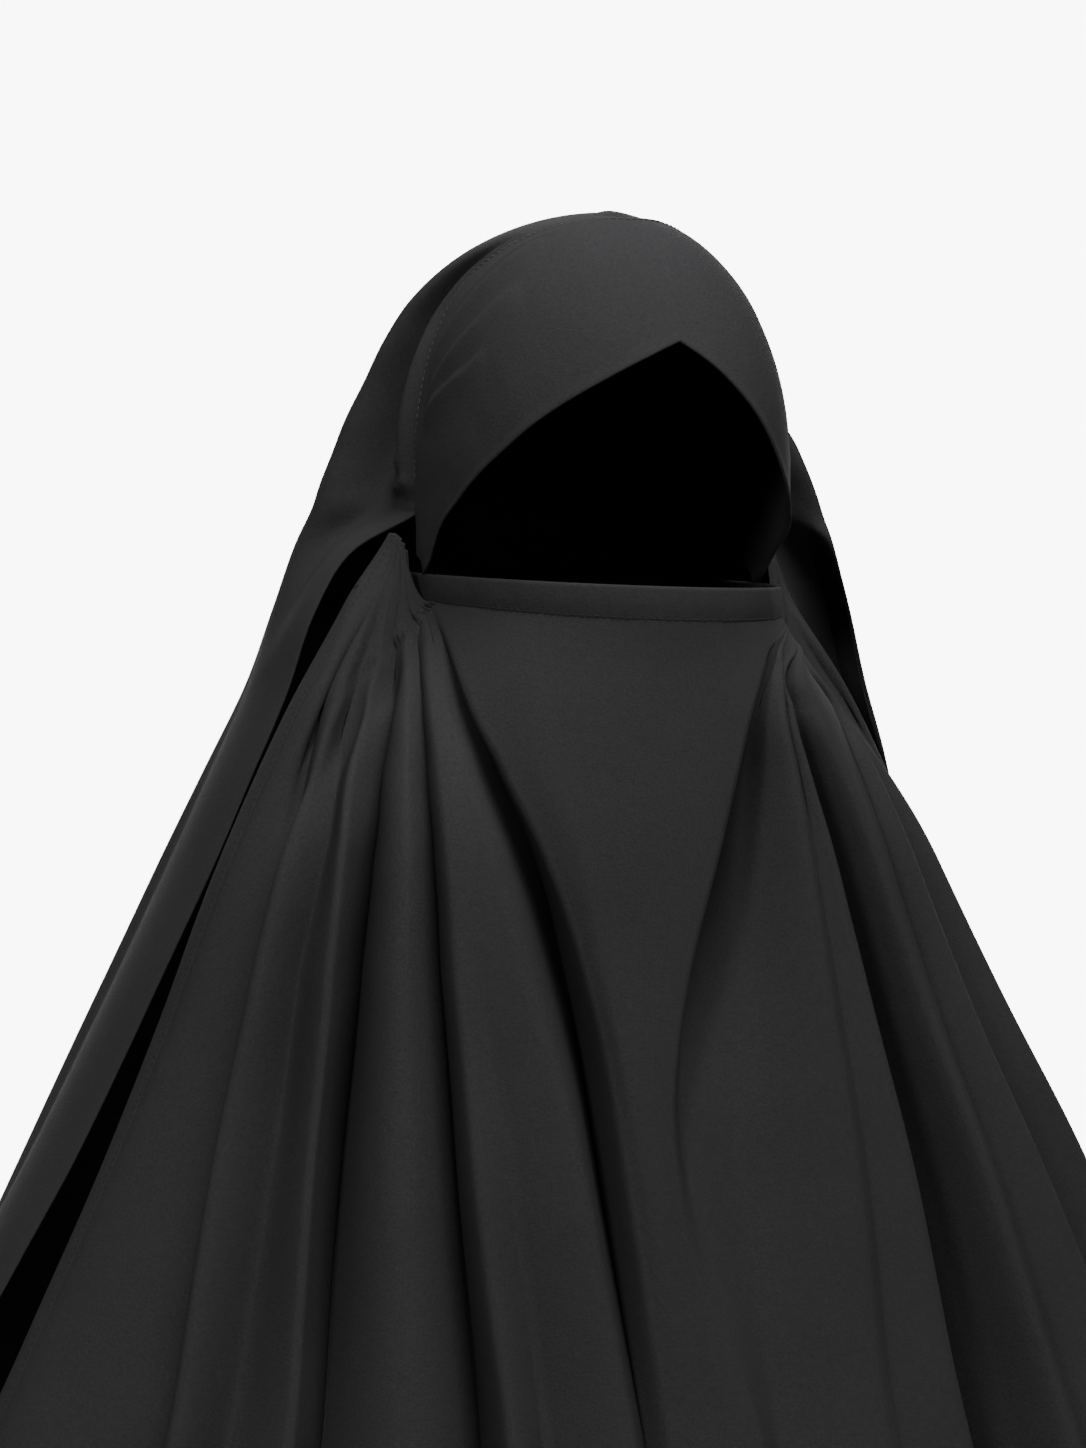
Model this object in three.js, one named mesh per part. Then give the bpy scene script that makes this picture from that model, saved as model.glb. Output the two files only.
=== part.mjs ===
// A long khimar veil with a tie-back face panel, as it hangs on a head.
// Millimetres, +Z up, the wearer looks along -Y and the wearer's left is +X.
// The origin is the point where the crown rests on the head.
import * as THREE from 'three';

// Cloth
const clothWall = 1.6;
const hemWall = 2.4;
const tieWall = 2;
const seamGap = 0.4;
const crownSeamGap = 0.8;

// Head and face opening, measured over the cloth
const headWidth = 149;
const headDepth = 191;
const crownHeight = 110;
const headRoundness = 2.15;
const gatherSetback = 12;
const casingDrop = 153;
const casingHeight = 13;
const casingTilt = 2.3;
const casingEase = 1;
const noseReach = 93.5;
const casingShare = 0.88;
const casingTaper = 0.2;
const tieHeight = 10.4;

// Gathers beside the ears
const gatherHalf = 86;
const gatherDrop = 137;
const gatherBack = 14;
const gatherBend = 0.42;
const gatherRise = 0.85;

// Front panel below the casing
const frontHemDrop = 830;
const panelHemHalf = 362;
const panelHemReach = 185;
const panelSideBack = 12;
const hemWidth = 12;
// The hem strips start narrow at the gathers and have their full width at this share of the way down
const hemStartWidth = 0.35;
const hemFullWidthDown = 0.055;
// Both sides share one curve in the middle of the panel, over this share of each half
const evenShare = 0.5;
// How far down the casing and the gathers shape the panel, in the middle and at the sides
const panelHold = { middle: 0.16, side: 0.04, from: 0.8, width: 0.14 };

// Veil round the sides and the back
const backHemDrop = 880;
const veilHemHalf = 375;
const veilHemBack = 245;
const veilSideTurn = 100;
const edgeSetback = 18;
const rollBack = 0.22;
const rightTuck = 0.62;
const leftTuck = 0.86;
// The wearer's left side rolls forward beside the face: it starts and ends softly at these places
const leftRoll = { place: 8, clear: 3, startTurn: 35, startWidth: 20, endFall: 0.12, endWidth: 0.12 };

// Number of cells across and down each piece. The veil's first rows start at the brow band's columns.
const panelRowsDown = 24;
const browCells = { across: 24, down: 6 };
const crownRows = 10;
const veilCells = { across: 42, down: 28 };
const tieCells = 28;
const hemCells = 2;
// Rows of cells are shorter near the casing, and the veil's columns are narrower towards its edges
const panelCrowding = 1.7;
const veilCrowding = 1.15;
const edgeCrowding = 0.35;

const degree = Math.PI / 180;
const headHalf = headWidth / 2;
const casingHalf = headHalf + casingEase;
const casingDepth = noseReach + gatherSetback;
const halvings = 40;
const sideStep = 0.01;

// Angles of the brow band seen from the line through both gathers, in degrees from the vertical.
// turn is how far to the side, seam the back edge, and right and left the lower edge on the wearer's sides.
const browRows = [
  { turn: 0, seam: 15.5, right: 44.6, left: 44.6 },
  { turn: 6, seam: 14, right: 46.9, left: 48.1 },
  { turn: 12, seam: 10.5, right: 48.6, left: 51.7 },
  { turn: 18, seam: 5, right: 49.7, left: 55.2 },
  { turn: 24, seam: -1.5, right: 50.3, left: 58.8 },
  { turn: 36, seam: -3.5, right: 51.2, left: 64 },
  { turn: 52, seam: -4, right: 51.5, left: 65.5 },
  { turn: 70, seam: -4, right: 54.5, left: 66 },
  { turn: 84, seam: -4, right: 85.5, left: 85.5 },
];

// Sections of the front panel. fall goes from the casing's level to the hem.
// right and left are shares of the growth in half width on the wearer's sides, front of that in reach.
const panelRows = [
  { fall: -0.05, right: 0.05, left: 0, front: 0 },
  { fall: 0, right: 0.115, left: 0.065, front: 0.01 },
  { fall: 0.063, right: 0.2, left: 0.158, front: 0.06 },
  { fall: 0.158, right: 0.305, left: 0.272, front: 0.13 },
  { fall: 0.25, right: 0.39, left: 0.39, front: 0.22 },
  { fall: 0.345, right: 0.485, left: 0.52, front: 0.34 },
  { fall: 0.44, right: 0.59, left: 0.63, front: 0.46 },
  { fall: 0.533, right: 0.69, left: 0.725, front: 0.6 },
  { fall: 0.75, right: 0.86, left: 0.87, front: 0.85 },
  { fall: 1, right: 1, left: 1, front: 1 },
];

// Lines down the front panel, from the wearer's right hem to the left one: valleys, ridges and edges.
// places are shares of the half panel at the levels of lineLevels, and sunk is how deep the line lies
// behind the smooth panel there, as shares of foldDepth. cells is the number of cells to the next line.
const lineLevels = [0, 0.013, 0.027, 0.055, 0.09, 0.14, 0.31, 0.5, 1];
const foldDepth = 30;
const panelLines = [
  { name: 'right crease', cells: 1,
    places: [-0.971, -0.954, -0.928, -0.894, -0.854, -0.812, -0.734, -0.635, -0.62],
    sunk: [0, 0.02, 0.04, 0.07, 0.1, 0.12, 0.16, 0.2, 0.2] },
  { name: 'ridge behind the crease', cells: 1,
    places: [-0.9692, -0.948, -0.918, -0.881, -0.839, -0.763, -0.692, -0.604, -0.57],
    sunk: [0, -0.01, -0.02, -0.03, -0.031, -0.03, -0.03, -0.03, -0.03] },
  { name: 'soft outer valley', cells: 2,
    places: [-0.9666, -0.942, -0.908, -0.868, -0.82, -0.71, -0.623, -0.548, -0.51],
    sunk: [0, 0.01, 0.03, 0.08, 0.14, 0.2, 0.32, 0.38, 0.4] },
  { name: 'box pleat ridge', cells: 2,
    places: [-0.9637, -0.928, -0.895, -0.843, -0.725, -0.616, -0.532, -0.459, -0.42],
    sunk: [0, -0.01, -0.02, -0.04, -0.059, -0.08, -0.1, -0.1, -0.1] },
  { name: 'box pleat valley', cells: 2,
    places: [-0.9583, -0.914, -0.881, -0.817, -0.71, -0.6, -0.512, -0.431, -0.37],
    sunk: [0, 0.02, 0.06, 0.18, 0.35, 0.5, 0.75, 0.8, 0.8] },
  { name: 'broad pleat', cells: 2,
    places: [-0.954, -0.896, -0.859, -0.722, -0.598, -0.501, -0.409, -0.333, -0.3],
    sunk: [0, -0.015, -0.03, -0.06, -0.089, -0.12, -0.15, -0.15, -0.15] },
  { name: 'deep valley', cells: 1,
    places: [-0.9492, -0.881, -0.839, -0.709, -0.583, -0.464, -0.334, -0.24, -0.17],
    sunk: [0, 0.04, 0.1, 0.22, 0.36, 0.5, 0.75, 0.9, 0.9] },
  { name: 'ridge after the deep valley', cells: 1,
    places: [-0.9474, -0.871, -0.793, -0.651, -0.525, -0.425, -0.309, -0.22, -0.14],
    sunk: [0, 0, 0, -0.02, -0.022, -0.02, -0.02, 0, 0] },
  { name: 'low crease', cells: 1,
    places: [-0.9463, -0.862, -0.783, -0.638, -0.508, -0.404, -0.264, -0.182, -0.11],
    sunk: [0, 0, 0, 0, -0.002, 0, 0.06, 0.2, 0.25] },
  { name: 'start of the broad valley', cells: 1,
    places: [-0.93, -0.856, -0.773, -0.625, -0.481, -0.355, -0.178, -0.101, -0.03],
    sunk: [0, 0.03, 0.06, 0.1, 0.097, 0.08, 0.02, 0, 0] },
  { name: 'broad valley', cells: 1,
    places: [-0.91, -0.816, -0.744, -0.611, -0.435, -0.274, -0.134, -0.081, 0],
    sunk: [0, 0.05, 0.15, 0.4, 0.65, 0.85, 0.8, 0.3, 0] },
  { name: 'bib right edge', cells: 3,
    places: [-0.885, -0.784, -0.695, -0.544, -0.388, -0.257, -0.114, -0.061, 0.015],
    sunk: [0, 0.02, 0.04, 0.08, 0.1, 0.12, 0.1, 0.03, 0] },
  { name: 'bib right half', cells: 5,
    places: [-0.6, -0.524, -0.45, -0.36, -0.283, -0.2, -0.095, -0.041, 0.03],
    sunk: [0, 0, 0, 0, 0, 0, 0, 0, 0] },
  { name: 'bib middle', cells: 5,
    places: [0.0, -0.025, -0.05, -0.08, -0.083, -0.08, -0.075, -0.021, 0.045],
    sunk: [0, 0.01, 0.02, 0.02, 0.011, 0, 0, 0, 0] },
  { name: 'bib left edge', cells: 1,
    places: [0.7, 0.494, 0.273, 0.165, 0.093, 0.032, -0.055, -0.001, 0.06],
    sunk: [0, 0, -0.01, -0.03, -0.05, -0.06, 0, 0, 0] },
  { name: 'pocket behind the bib', cells: 2,
    places: [0.74, 0.5, 0.295, 0.19, 0.124, 0.06, -0.035, 0.03, 0.075],
    sunk: [0, 0, 0.03, 0.15, 0.35, 0.5, 0.2, 0.02, 0] },
  { name: 'soft middle valley', cells: 2,
    places: [0.8, 0.506, 0.352, 0.245, 0.185, 0.13, 0.055, 0.06, 0.1],
    sunk: [0, 0, 0.02, 0.06, 0.1, 0.15, 0.14, 0.2, 0.25] },
  { name: 'inner ridge', cells: 1,
    places: [0.885, 0.512, 0.362, 0.277, 0.243, 0.219, 0.193, 0.161, 0.17],
    sunk: [0, -0.015, -0.03, -0.05, -0.052, -0.05, -0.05, -0.05, -0.05] },
  { name: 'narrow step', cells: 1,
    places: [0.91, 0.518, 0.388, 0.306, 0.275, 0.249, 0.22, 0.185, 0.22],
    sunk: [0, 0.015, 0.03, 0.06, 0.071, 0.08, 0.1, 0.1, 0.1] },
  { name: 'ridge before the inner valley', cells: 1,
    places: [0.93, 0.767, 0.398, 0.319, 0.291, 0.282, 0.278, 0.26, 0.27],
    sunk: [0, -0.01, -0.02, -0.03, -0.035, -0.04, -0.05, -0.05, -0.05] },
  { name: 'inner valley', cells: 1,
    places: [0.9474, 0.773, 0.45, 0.362, 0.347, 0.338, 0.336, 0.326, 0.315],
    sunk: [0, 0.02, 0.08, 0.25, 0.5, 0.8, 1.1, 1.2, 1] },
  { name: 'rise after the inner valley', cells: 1,
    places: [0.9492, 0.779, 0.465, 0.384, 0.372, 0.366, 0.366, 0.362, 0.36],
    sunk: [0, 0, 0.03, 0.06, 0.08, 0.1, 0.15, 0.15, 0.15] },
  { name: 'bright roll', cells: 2,
    places: [0.9529, 0.881, 0.525, 0.43, 0.41, 0.402, 0.402, 0.402, 0.42],
    sunk: [0, -0.02, -0.04, -0.06, -0.07, -0.08, -0.1, -0.1, -0.1] },
  { name: 'outer soft line', cells: 2,
    places: [0.9565, 0.887, 0.63, 0.673, 0.577, 0.509, 0.455, 0.444, 0.5],
    sunk: [0, 0.025, 0.05, 0.1, 0.161, 0.18, 0.22, 0.25, 0.3] },
  { name: 'outer ridge', cells: 2,
    places: [0.9601, 0.893, 0.7, 0.685, 0.608, 0.55, 0.52, 0.54, 0.58],
    sunk: [0, 0, 0, 0, -0.017, -0.04, -0.06, -0.06, -0.06] },
  { name: 'side valley', cells: 2,
    places: [0.9637, 0.899, 0.78, 0.74, 0.702, 0.66, 0.62, 0.63, 0.66],
    sunk: [0, 0.075, 0.15, 0.25, 0.303, 0.35, 0.4, 0.45, 0.5] },
  { name: 'side ridge', cells: 2,
    places: [0.9674, 0.911, 0.86, 0.82, 0.795, 0.77, 0.73, 0.74, 0.76],
    sunk: [0, 0, 0, 0, -0.013, -0.03, -0.04, -0.04, -0.04] },
  { name: 'edge valley', cells: 2,
    places: [0.971, 0.945, 0.92, 0.885, 0.875, 0.87, 0.85, 0.85, 0.86],
    sunk: [0, 0.04, 0.08, 0.12, 0.149, 0.18, 0.25, 0.3, 0.35] },
];
const cellsToFirstLine = 2;

// Rings of the veil over the crown. turn is the place on the brow band's seam where the ring starts.
// side is a share of the head's half width, back of its half depth, and low of the crown's height.
const crownRings = [
  { turn: 0, right: 0, left: 0, back: -0.3, low: 0.025 },
  { turn: 7, right: 0.25, left: 0.25, back: -0.04, low: 0 },
  { turn: 14, right: 0.52, left: 0.52, back: 0.24, low: 0.008 },
  { turn: 21, right: 0.76, left: 0.76, back: 0.5, low: 0.06 },
  { turn: 28, right: 0.95, left: 0.95, back: 0.76, low: 0.18 },
  { turn: 35, right: 1.08, left: 1.1, back: 0.96, low: 0.36 },
  { turn: 42, right: 1.17, left: 1.24, back: 1.12, low: 0.55 },
  { turn: 49, right: 1.27, left: 1.4, back: 1.23, low: 0.73 },
  { turn: 56, right: 1.34, left: 1.48, back: 1.31, low: 0.89 },
  { turn: 63, right: 1.41, left: 1.55, back: 1.36, low: 1.03 },
  { turn: 70, right: 1.46, left: 1.6, back: 1.4, low: 1.15 },
];

// Sections of the veil below the crown. fall goes from the casing's level to the hem.
// right and left are shares of the growth in half width on the wearer's sides, rightEdge and leftEdge of
// that at the front edges, and back of the growth in reach.
const veilRows = [
  { fall: -0.018, right: 0.128, rightEdge: 0.08, left: 0.151, leftEdge: 0.06, back: 0.3 },
  { fall: 0.02, right: 0.155, rightEdge: 0.135, left: 0.175, leftEdge: 0.112, back: 0.36 },
  { fall: 0.08, right: 0.195, rightEdge: 0.185, left: 0.208, leftEdge: 0.16, back: 0.46 },
  { fall: 0.12, right: 0.236, rightEdge: 0.228, left: 0.235, leftEdge: 0.2, back: 0.54 },
  { fall: 0.166, right: 0.283, rightEdge: 0.275, left: 0.287, leftEdge: 0.262, back: 0.62 },
  { fall: 0.25, right: 0.376, rightEdge: 0.37, left: 0.386, leftEdge: 0.37, back: 0.7 },
  { fall: 0.335, right: 0.475, rightEdge: 0.467, left: 0.482, leftEdge: 0.472, back: 0.78 },
  { fall: 0.52, right: 0.69, rightEdge: 0.7, left: 0.69, leftEdge: 0.7, back: 0.9 },
  { fall: 0.77, right: 0.9, rightEdge: 0.89, left: 0.9, leftEdge: 0.89, back: 0.97 },
  { fall: 1, right: 1, rightEdge: 1, left: 1, leftEdge: 1, back: 1 },
];

// Folds of the veil. place is the share of the way from the middle of the back to the front edge,
// below 0 on the wearer's right. start and end are shares of the way down, width is one of the way round,
// and depth is a share of foldDepth, above 0 outwards.
const veilFolds = [
  { name: 'right ridge at the seam', place: -0.93, start: 0.1, end: 0.36, depth: 0.16, width: 0.035 },
  { name: 'right valley behind it', place: -0.84, start: 0.08, end: 0.44, depth: -0.42, width: 0.045 },
  { name: 'right second fold', place: -0.62, start: 0.42, end: 0.85, depth: 0.3, width: 0.05 },
  { name: 'left valley at the seam', place: 0.935, start: 0.16, end: 0.56, depth: -0.42, width: 0.03 },
];
const backFlutes = { count: 6, depth: 0.42, start: 0.3, grow: 0.4, half: 0.45, fade: 0.25 };

function smooth(x) {
  const s = THREE.MathUtils.clamp(x, 0, 1);
  return s * s * (3 - 2 * s);
}

// A smooth curve through one column of a table, by cubic pieces between its rows
function readRows(keys, values, key) {
  const last = keys.length - 1;
  let row = 0;
  while (row < last - 1 && key > keys[row + 1]) row += 1;
  const slope = (i) => {
    const low = Math.max(i - 1, 0);
    const high = Math.min(i + 1, last);
    return (values[high] - values[low]) / (keys[high] - keys[low]);
  };
  const span = keys[row + 1] - keys[row];
  const s = THREE.MathUtils.clamp((key - keys[row]) / span, 0, 1);
  const rest = 1 - s;
  return values[row] * (1 + 2 * s) * rest * rest + slope(row) * span * s * rest * rest
    + values[row + 1] * s * s * (3 - 2 * s) - slope(row + 1) * span * s * s * rest;
}

function column(rows, keyName, valueName, key) {
  return readRows(rows.map((r) => r[keyName]), rows.map((r) => r[valueName]), key);
}

// Distance from a point inside the head to the cloth on it, along one direction
function headReach(centre, direction) {
  const inside = (reach) => {
    const p = centre.clone().addScaledVector(direction, reach);
    const rise = Math.max(p.z + crownHeight, 0);
    return Math.abs(p.x / headHalf) ** headRoundness + Math.abs(2 * p.y / headDepth) ** headRoundness
      + (rise / crownHeight) ** headRoundness < 1;
  };
  let low = 0;
  let high = headDepth + crownHeight;
  for (let i = 0; i < halvings; i += 1) {
    const middle = (low + high) / 2;
    if (inside(middle)) low = middle;
    else high = middle;
  }
  return low;
}

// The direction straight out of the head at a point of the cloth on it
function outOfHead(p) {
  const slope = (length, size) => Math.sign(length) * (Math.abs(length) / size) ** (headRoundness - 1) / size;
  const rise = Math.max(p.z + crownHeight, 0);
  return new THREE.Vector3(
    slope(p.x, headHalf), slope(p.y, headDepth / 2), slope(rise, crownHeight)).normalize();
}

// The point on the head at a turn to the side and an angle from the vertical, both in degrees.
// The angle is seen from the line through both gathers, which tilts with the nose casing.
function gatherLine(turn) {
  const x = headHalf * Math.sin(turn * degree);
  return new THREE.Vector3(0, gatherSetback, -casingDropAt(x));
}

function onHead(turn, angle) {
  const w = turn * degree;
  const g = angle * degree;
  const direction = new THREE.Vector3(Math.sin(w), -Math.cos(w) * Math.sin(g), Math.cos(w) * Math.cos(g));
  const centre = gatherLine(turn);
  return centre.clone().addScaledVector(direction, headReach(centre, direction));
}

// The angle that a gap takes at a turn to the side
function gapAngle(turn, gap) {
  const reach = onHead(turn, 0).sub(gatherLine(turn)).length();
  return gap / (reach * Math.cos(turn * degree)) / degree;
}

function browPoint(across, down) {
  const lastTurn = browRows[browRows.length - 1].turn;
  const turn = across * lastTurn;
  const size = Math.abs(turn);
  const back = column(browRows, 'turn', 'seam', size);
  const edge = column(browRows, 'turn', turn < 0 ? 'right' : 'left', size);
  return onHead(turn, back + (edge - back) * down);
}

// The nose casing's ring at the head: a half ellipse in front, whose level tilts to one side
function casingDropAt(x) {
  return casingDrop + x * Math.tan(casingTilt * degree);
}

function casingPoint(across, down) {
  const angle = across * casingShare * 90 * degree;
  const x = casingHalf * Math.sin(angle);
  const y = gatherSetback - casingDepth * Math.cos(angle);
  const height = casingHeight * (1 - casingTaper * across * across);
  return new THREE.Vector3(x, y, -casingDropAt(x) - down * height);
}

// The tie goes on from the casing's ends round the back of the head
function tiePoint(across, down) {
  const start = (casingShare * 90 + gapAngle(0, seamGap) * 2) * degree;
  const angle = Math.PI + across * (Math.PI - start);
  const depth = angle > Math.PI / 2 && angle < 1.5 * Math.PI ? headDepth / 2 - gatherSetback : casingDepth;
  const x = casingHalf * Math.sin(angle);
  const y = gatherSetback - depth * Math.cos(angle);
  return new THREE.Vector3(x, y, -casingDropAt(x) - down * tieHeight);
}

// Top row of the front panel: under the casing, then up through the gather at each side
function panelTop(share) {
  const side = Math.sign(share);
  const size = Math.abs(share);
  if (size <= casingShare) {
    const p = casingPoint(share / casingShare, 1);
    p.z -= seamGap;
    return p;
  }
  const g = (size - casingShare) / (1 - casingShare);
  const p = casingPoint(side, 1);
  const endX = side * gatherHalf;
  const low = p.z - seamGap;
  const high = -gatherDrop - endX * Math.tan(casingTilt * degree);
  return new THREE.Vector3(
    p.x + (endX - p.x) * g ** gatherBend,
    p.y + (gatherBack - p.y) * g,
    low + (high - low) * smooth(g / gatherRise),
  );
}

const fallTop = casingDrop + casingHeight;

function panelFree(share, drop) {
  const fall = (drop - fallTop) / (frontHemDrop - fallTop);
  const widen = column(panelRows, 'fall', share < 0 ? 'right' : 'left', fall);
  const other = column(panelRows, 'fall', share < 0 ? 'left' : 'right', fall);
  const even = 0.5 * (widen + other);
  const mix = even + (widen - even) * smooth(Math.abs(share) / evenShare);
  const half = casingHalf + (panelHemHalf - casingHalf) * mix;
  const reach = noseReach + (panelHemReach - noseReach) * column(panelRows, 'fall', 'front', fall);
  const angle = share * 90 * degree;
  return new THREE.Vector3(
    half * Math.sin(angle),
    panelSideBack - (reach + panelSideBack) * Math.cos(angle),
    -drop,
  );
}

// A point of the smooth front panel, across from -1 to 1 and down from 0 at the casing to 1 at the hem
function panelSmooth(across, down) {
  const top = panelTop(across);
  const drop = -top.z + (frontHemDrop + top.z) * down;
  const free = panelFree(across, drop);
  const freeTop = panelFree(across, -top.z);
  const toSide = smooth((Math.abs(across) - panelHold.from) / panelHold.width);
  const reachDown = panelHold.middle + (panelHold.side - panelHold.middle) * toSide;
  const hold = 1 - smooth(down / reachDown);
  return free.addScaledVector(top.sub(freeTop), hold);
}

function panelPoint(across, down, sunk) {
  const along = panelSmooth(across + sideStep, down).sub(panelSmooth(across - sideStep, down));
  const outward = new THREE.Vector3(along.y, -along.x, 0).normalize();
  return panelSmooth(across, down).addScaledVector(outward, -sunk * foldDepth);
}

// The length that one whole share across the panel has at its side edge
function edgeRate(down) {
  const reach = noseReach + (panelHemReach - noseReach) * column(panelRows, 'fall', 'front', down);
  return (reach + panelSideBack) * Math.PI / 2;
}

// How wide the hem strip is at one level, as a share of its full width
function hemNarrowing(down) {
  return hemStartWidth + (1 - hemStartWidth) * smooth(down / hemFullWidthDown);
}

// How far across the panel its hem strip starts
function hemStart(down) {
  return 1 - hemWidth * hemNarrowing(down) / edgeRate(down);
}

// The gap between panel and hem strip, as a share of the half panel
function gapShare(down) {
  return seamGap / (edgeRate(down) * hemNarrowing(down));
}

// Lines of the front panel at one level, with the hem seams at both ends
function linesAt(down) {
  const edge = hemStart(down) - gapShare(down);
  const rows = panelLines.map((line) => ({
    place: readRows(lineLevels, line.places, down),
    sunk: readRows(lineLevels, line.sunk, down),
    cells: line.cells,
  }));
  return [{ place: -edge, sunk: 0, cells: cellsToFirstLine }, ...rows, { place: edge, sunk: 0, cells: 0 }];
}

// How far down a row of cells lies, as a share of the whole way from the casing to the hem
function panelDown(v) {
  return v ** panelCrowding;
}

const panelColumns = panelLines.reduce((sum, line) => sum + line.cells, cellsToFirstLine);

// Place and depth of one column of cells, by a soft step from line to line
function columnAt(lines, index) {
  let line = 0;
  let first = 0;
  while (line < lines.length - 2 && index > first + lines[line].cells) {
    first += lines[line].cells;
    line += 1;
  }
  const s = (index - first) / lines[line].cells;
  const eased = 0.5 * (s + smooth(s));
  const here = lines[line];
  const next = lines[line + 1];
  return {
    place: here.place + (next.place - here.place) * s,
    sunk: here.sunk + (next.sunk - here.sunk) * eased,
  };
}

// One ring of the veil: its half width at the side, its front edge, its reach behind and its level there
function veilSection(row, side) {
  const lastTurn = browRows[browRows.length - 1].turn;
  const turnStep = 2 * lastTurn / browCells.across;
  if (row <= crownRows) {
    const turn = row * turnStep;
    const at = (name) => column(crownRings, 'turn', name, turn);
    const seam = column(browRows, 'turn', 'seam', turn) - gapAngle(turn, crownSeamGap);
    const edge = onHead(side * turn, seam);
    edge.x = Math.abs(edge.x);
    return {
      side: Math.max(at(side < 0 ? 'right' : 'left') * headHalf, edge.x / Math.sin(veilSideTurn * degree)),
      edge,
      rollPlace: Math.max(leftRoll.place, edge.y + leftRoll.clear),
      forward: smooth((turn - leftRoll.startTurn) / leftRoll.startWidth),
      back: at('back') * headDepth / 2,
      low: -at('low') * crownHeight,
    };
  }
  const start = veilRows[0].fall;
  const share = (row - crownRows - 1) / (veilCells.down - crownRows - 1);
  const fall = start + (1 - start) * share ** veilCrowding;
  const at = (name) => column(veilRows, 'fall', name, fall);
  const edgeDrop = casingDrop + (frontHemDrop - casingDrop) * fall;
  const backDrop = casingDrop + (backHemDrop - casingDrop) * fall;
  return {
    side: headHalf + (veilHemHalf - headHalf) * at(side < 0 ? 'right' : 'left'),
    edge: new THREE.Vector3(
      headHalf + (veilHemHalf - headHalf) * at(side < 0 ? 'rightEdge' : 'leftEdge'),
      gatherSetback + edgeSetback,
      -edgeDrop,
    ),
    rollPlace: leftRoll.place,
    forward: 1 - smooth((fall - leftRoll.endFall) / leftRoll.endWidth),
    back: headDepth / 2 + (veilHemBack - headDepth / 2) * at('back'),
    low: -backDrop,
  };
}

// A point of the smooth veil, round from -1 at the wearer's right front edge to 1 at the left one
function veilSmooth(round, section) {
  const s = section;
  const size = Math.abs(round);
  const turn = size * veilSideTurn * degree;
  const lastTurn = veilSideTurn * degree;
  const common = s.edge.y + (s.back - s.edge.y) * rollBack;
  const middle = round < 0 ? common : common + Math.min(s.rollPlace - common, 0) * s.forward;
  const depth = s.back - middle;
  const tuckStart = round < 0 ? rightTuck : leftTuck;
  const near = smooth((size - tuckStart) / (1 - tuckStart));
  const edgeX = s.side * Math.sin(lastTurn);
  const edgeY = middle + depth * Math.cos(lastTurn);
  const side = round < 0 ? -1 : 1;
  return new THREE.Vector3(
    side * (s.side * Math.sin(turn) + (s.edge.x - edgeX) * near),
    middle + depth * Math.cos(turn) + (s.edge.y - edgeY) * near,
    s.low + (s.edge.z - s.low) * smooth(size),
  );
}

function veilPoint(round, row) {
  const section = veilSection(row, round < 0 ? -1 : 1);
  const down = row / veilCells.down;
  const p = veilSmooth(round, section);
  const ahead = veilSmooth(Math.min(round + sideStep, 1), section);
  const along = ahead.sub(veilSmooth(Math.max(round - sideStep, -1), section));
  const outward = new THREE.Vector3(-along.y, along.x, 0).normalize();
  let out = 0;
  for (const fold of veilFolds) {
    const share = (down - fold.start) / (fold.end - fold.start);
    if (share > 0 && share < 1) {
      out += fold.depth * Math.sin(Math.PI * share) * Math.exp(-(((round - fold.place) / fold.width) ** 2));
    }
  }
  const grown = smooth((down - backFlutes.start) / backFlutes.grow);
  const flute = grown * (1 - smooth((Math.abs(round) - backFlutes.half) / backFlutes.fade));
  out += backFlutes.depth * flute * Math.cos(backFlutes.count * Math.PI * round);
  return p.addScaledVector(outward, out * foldDepth);
}

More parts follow.
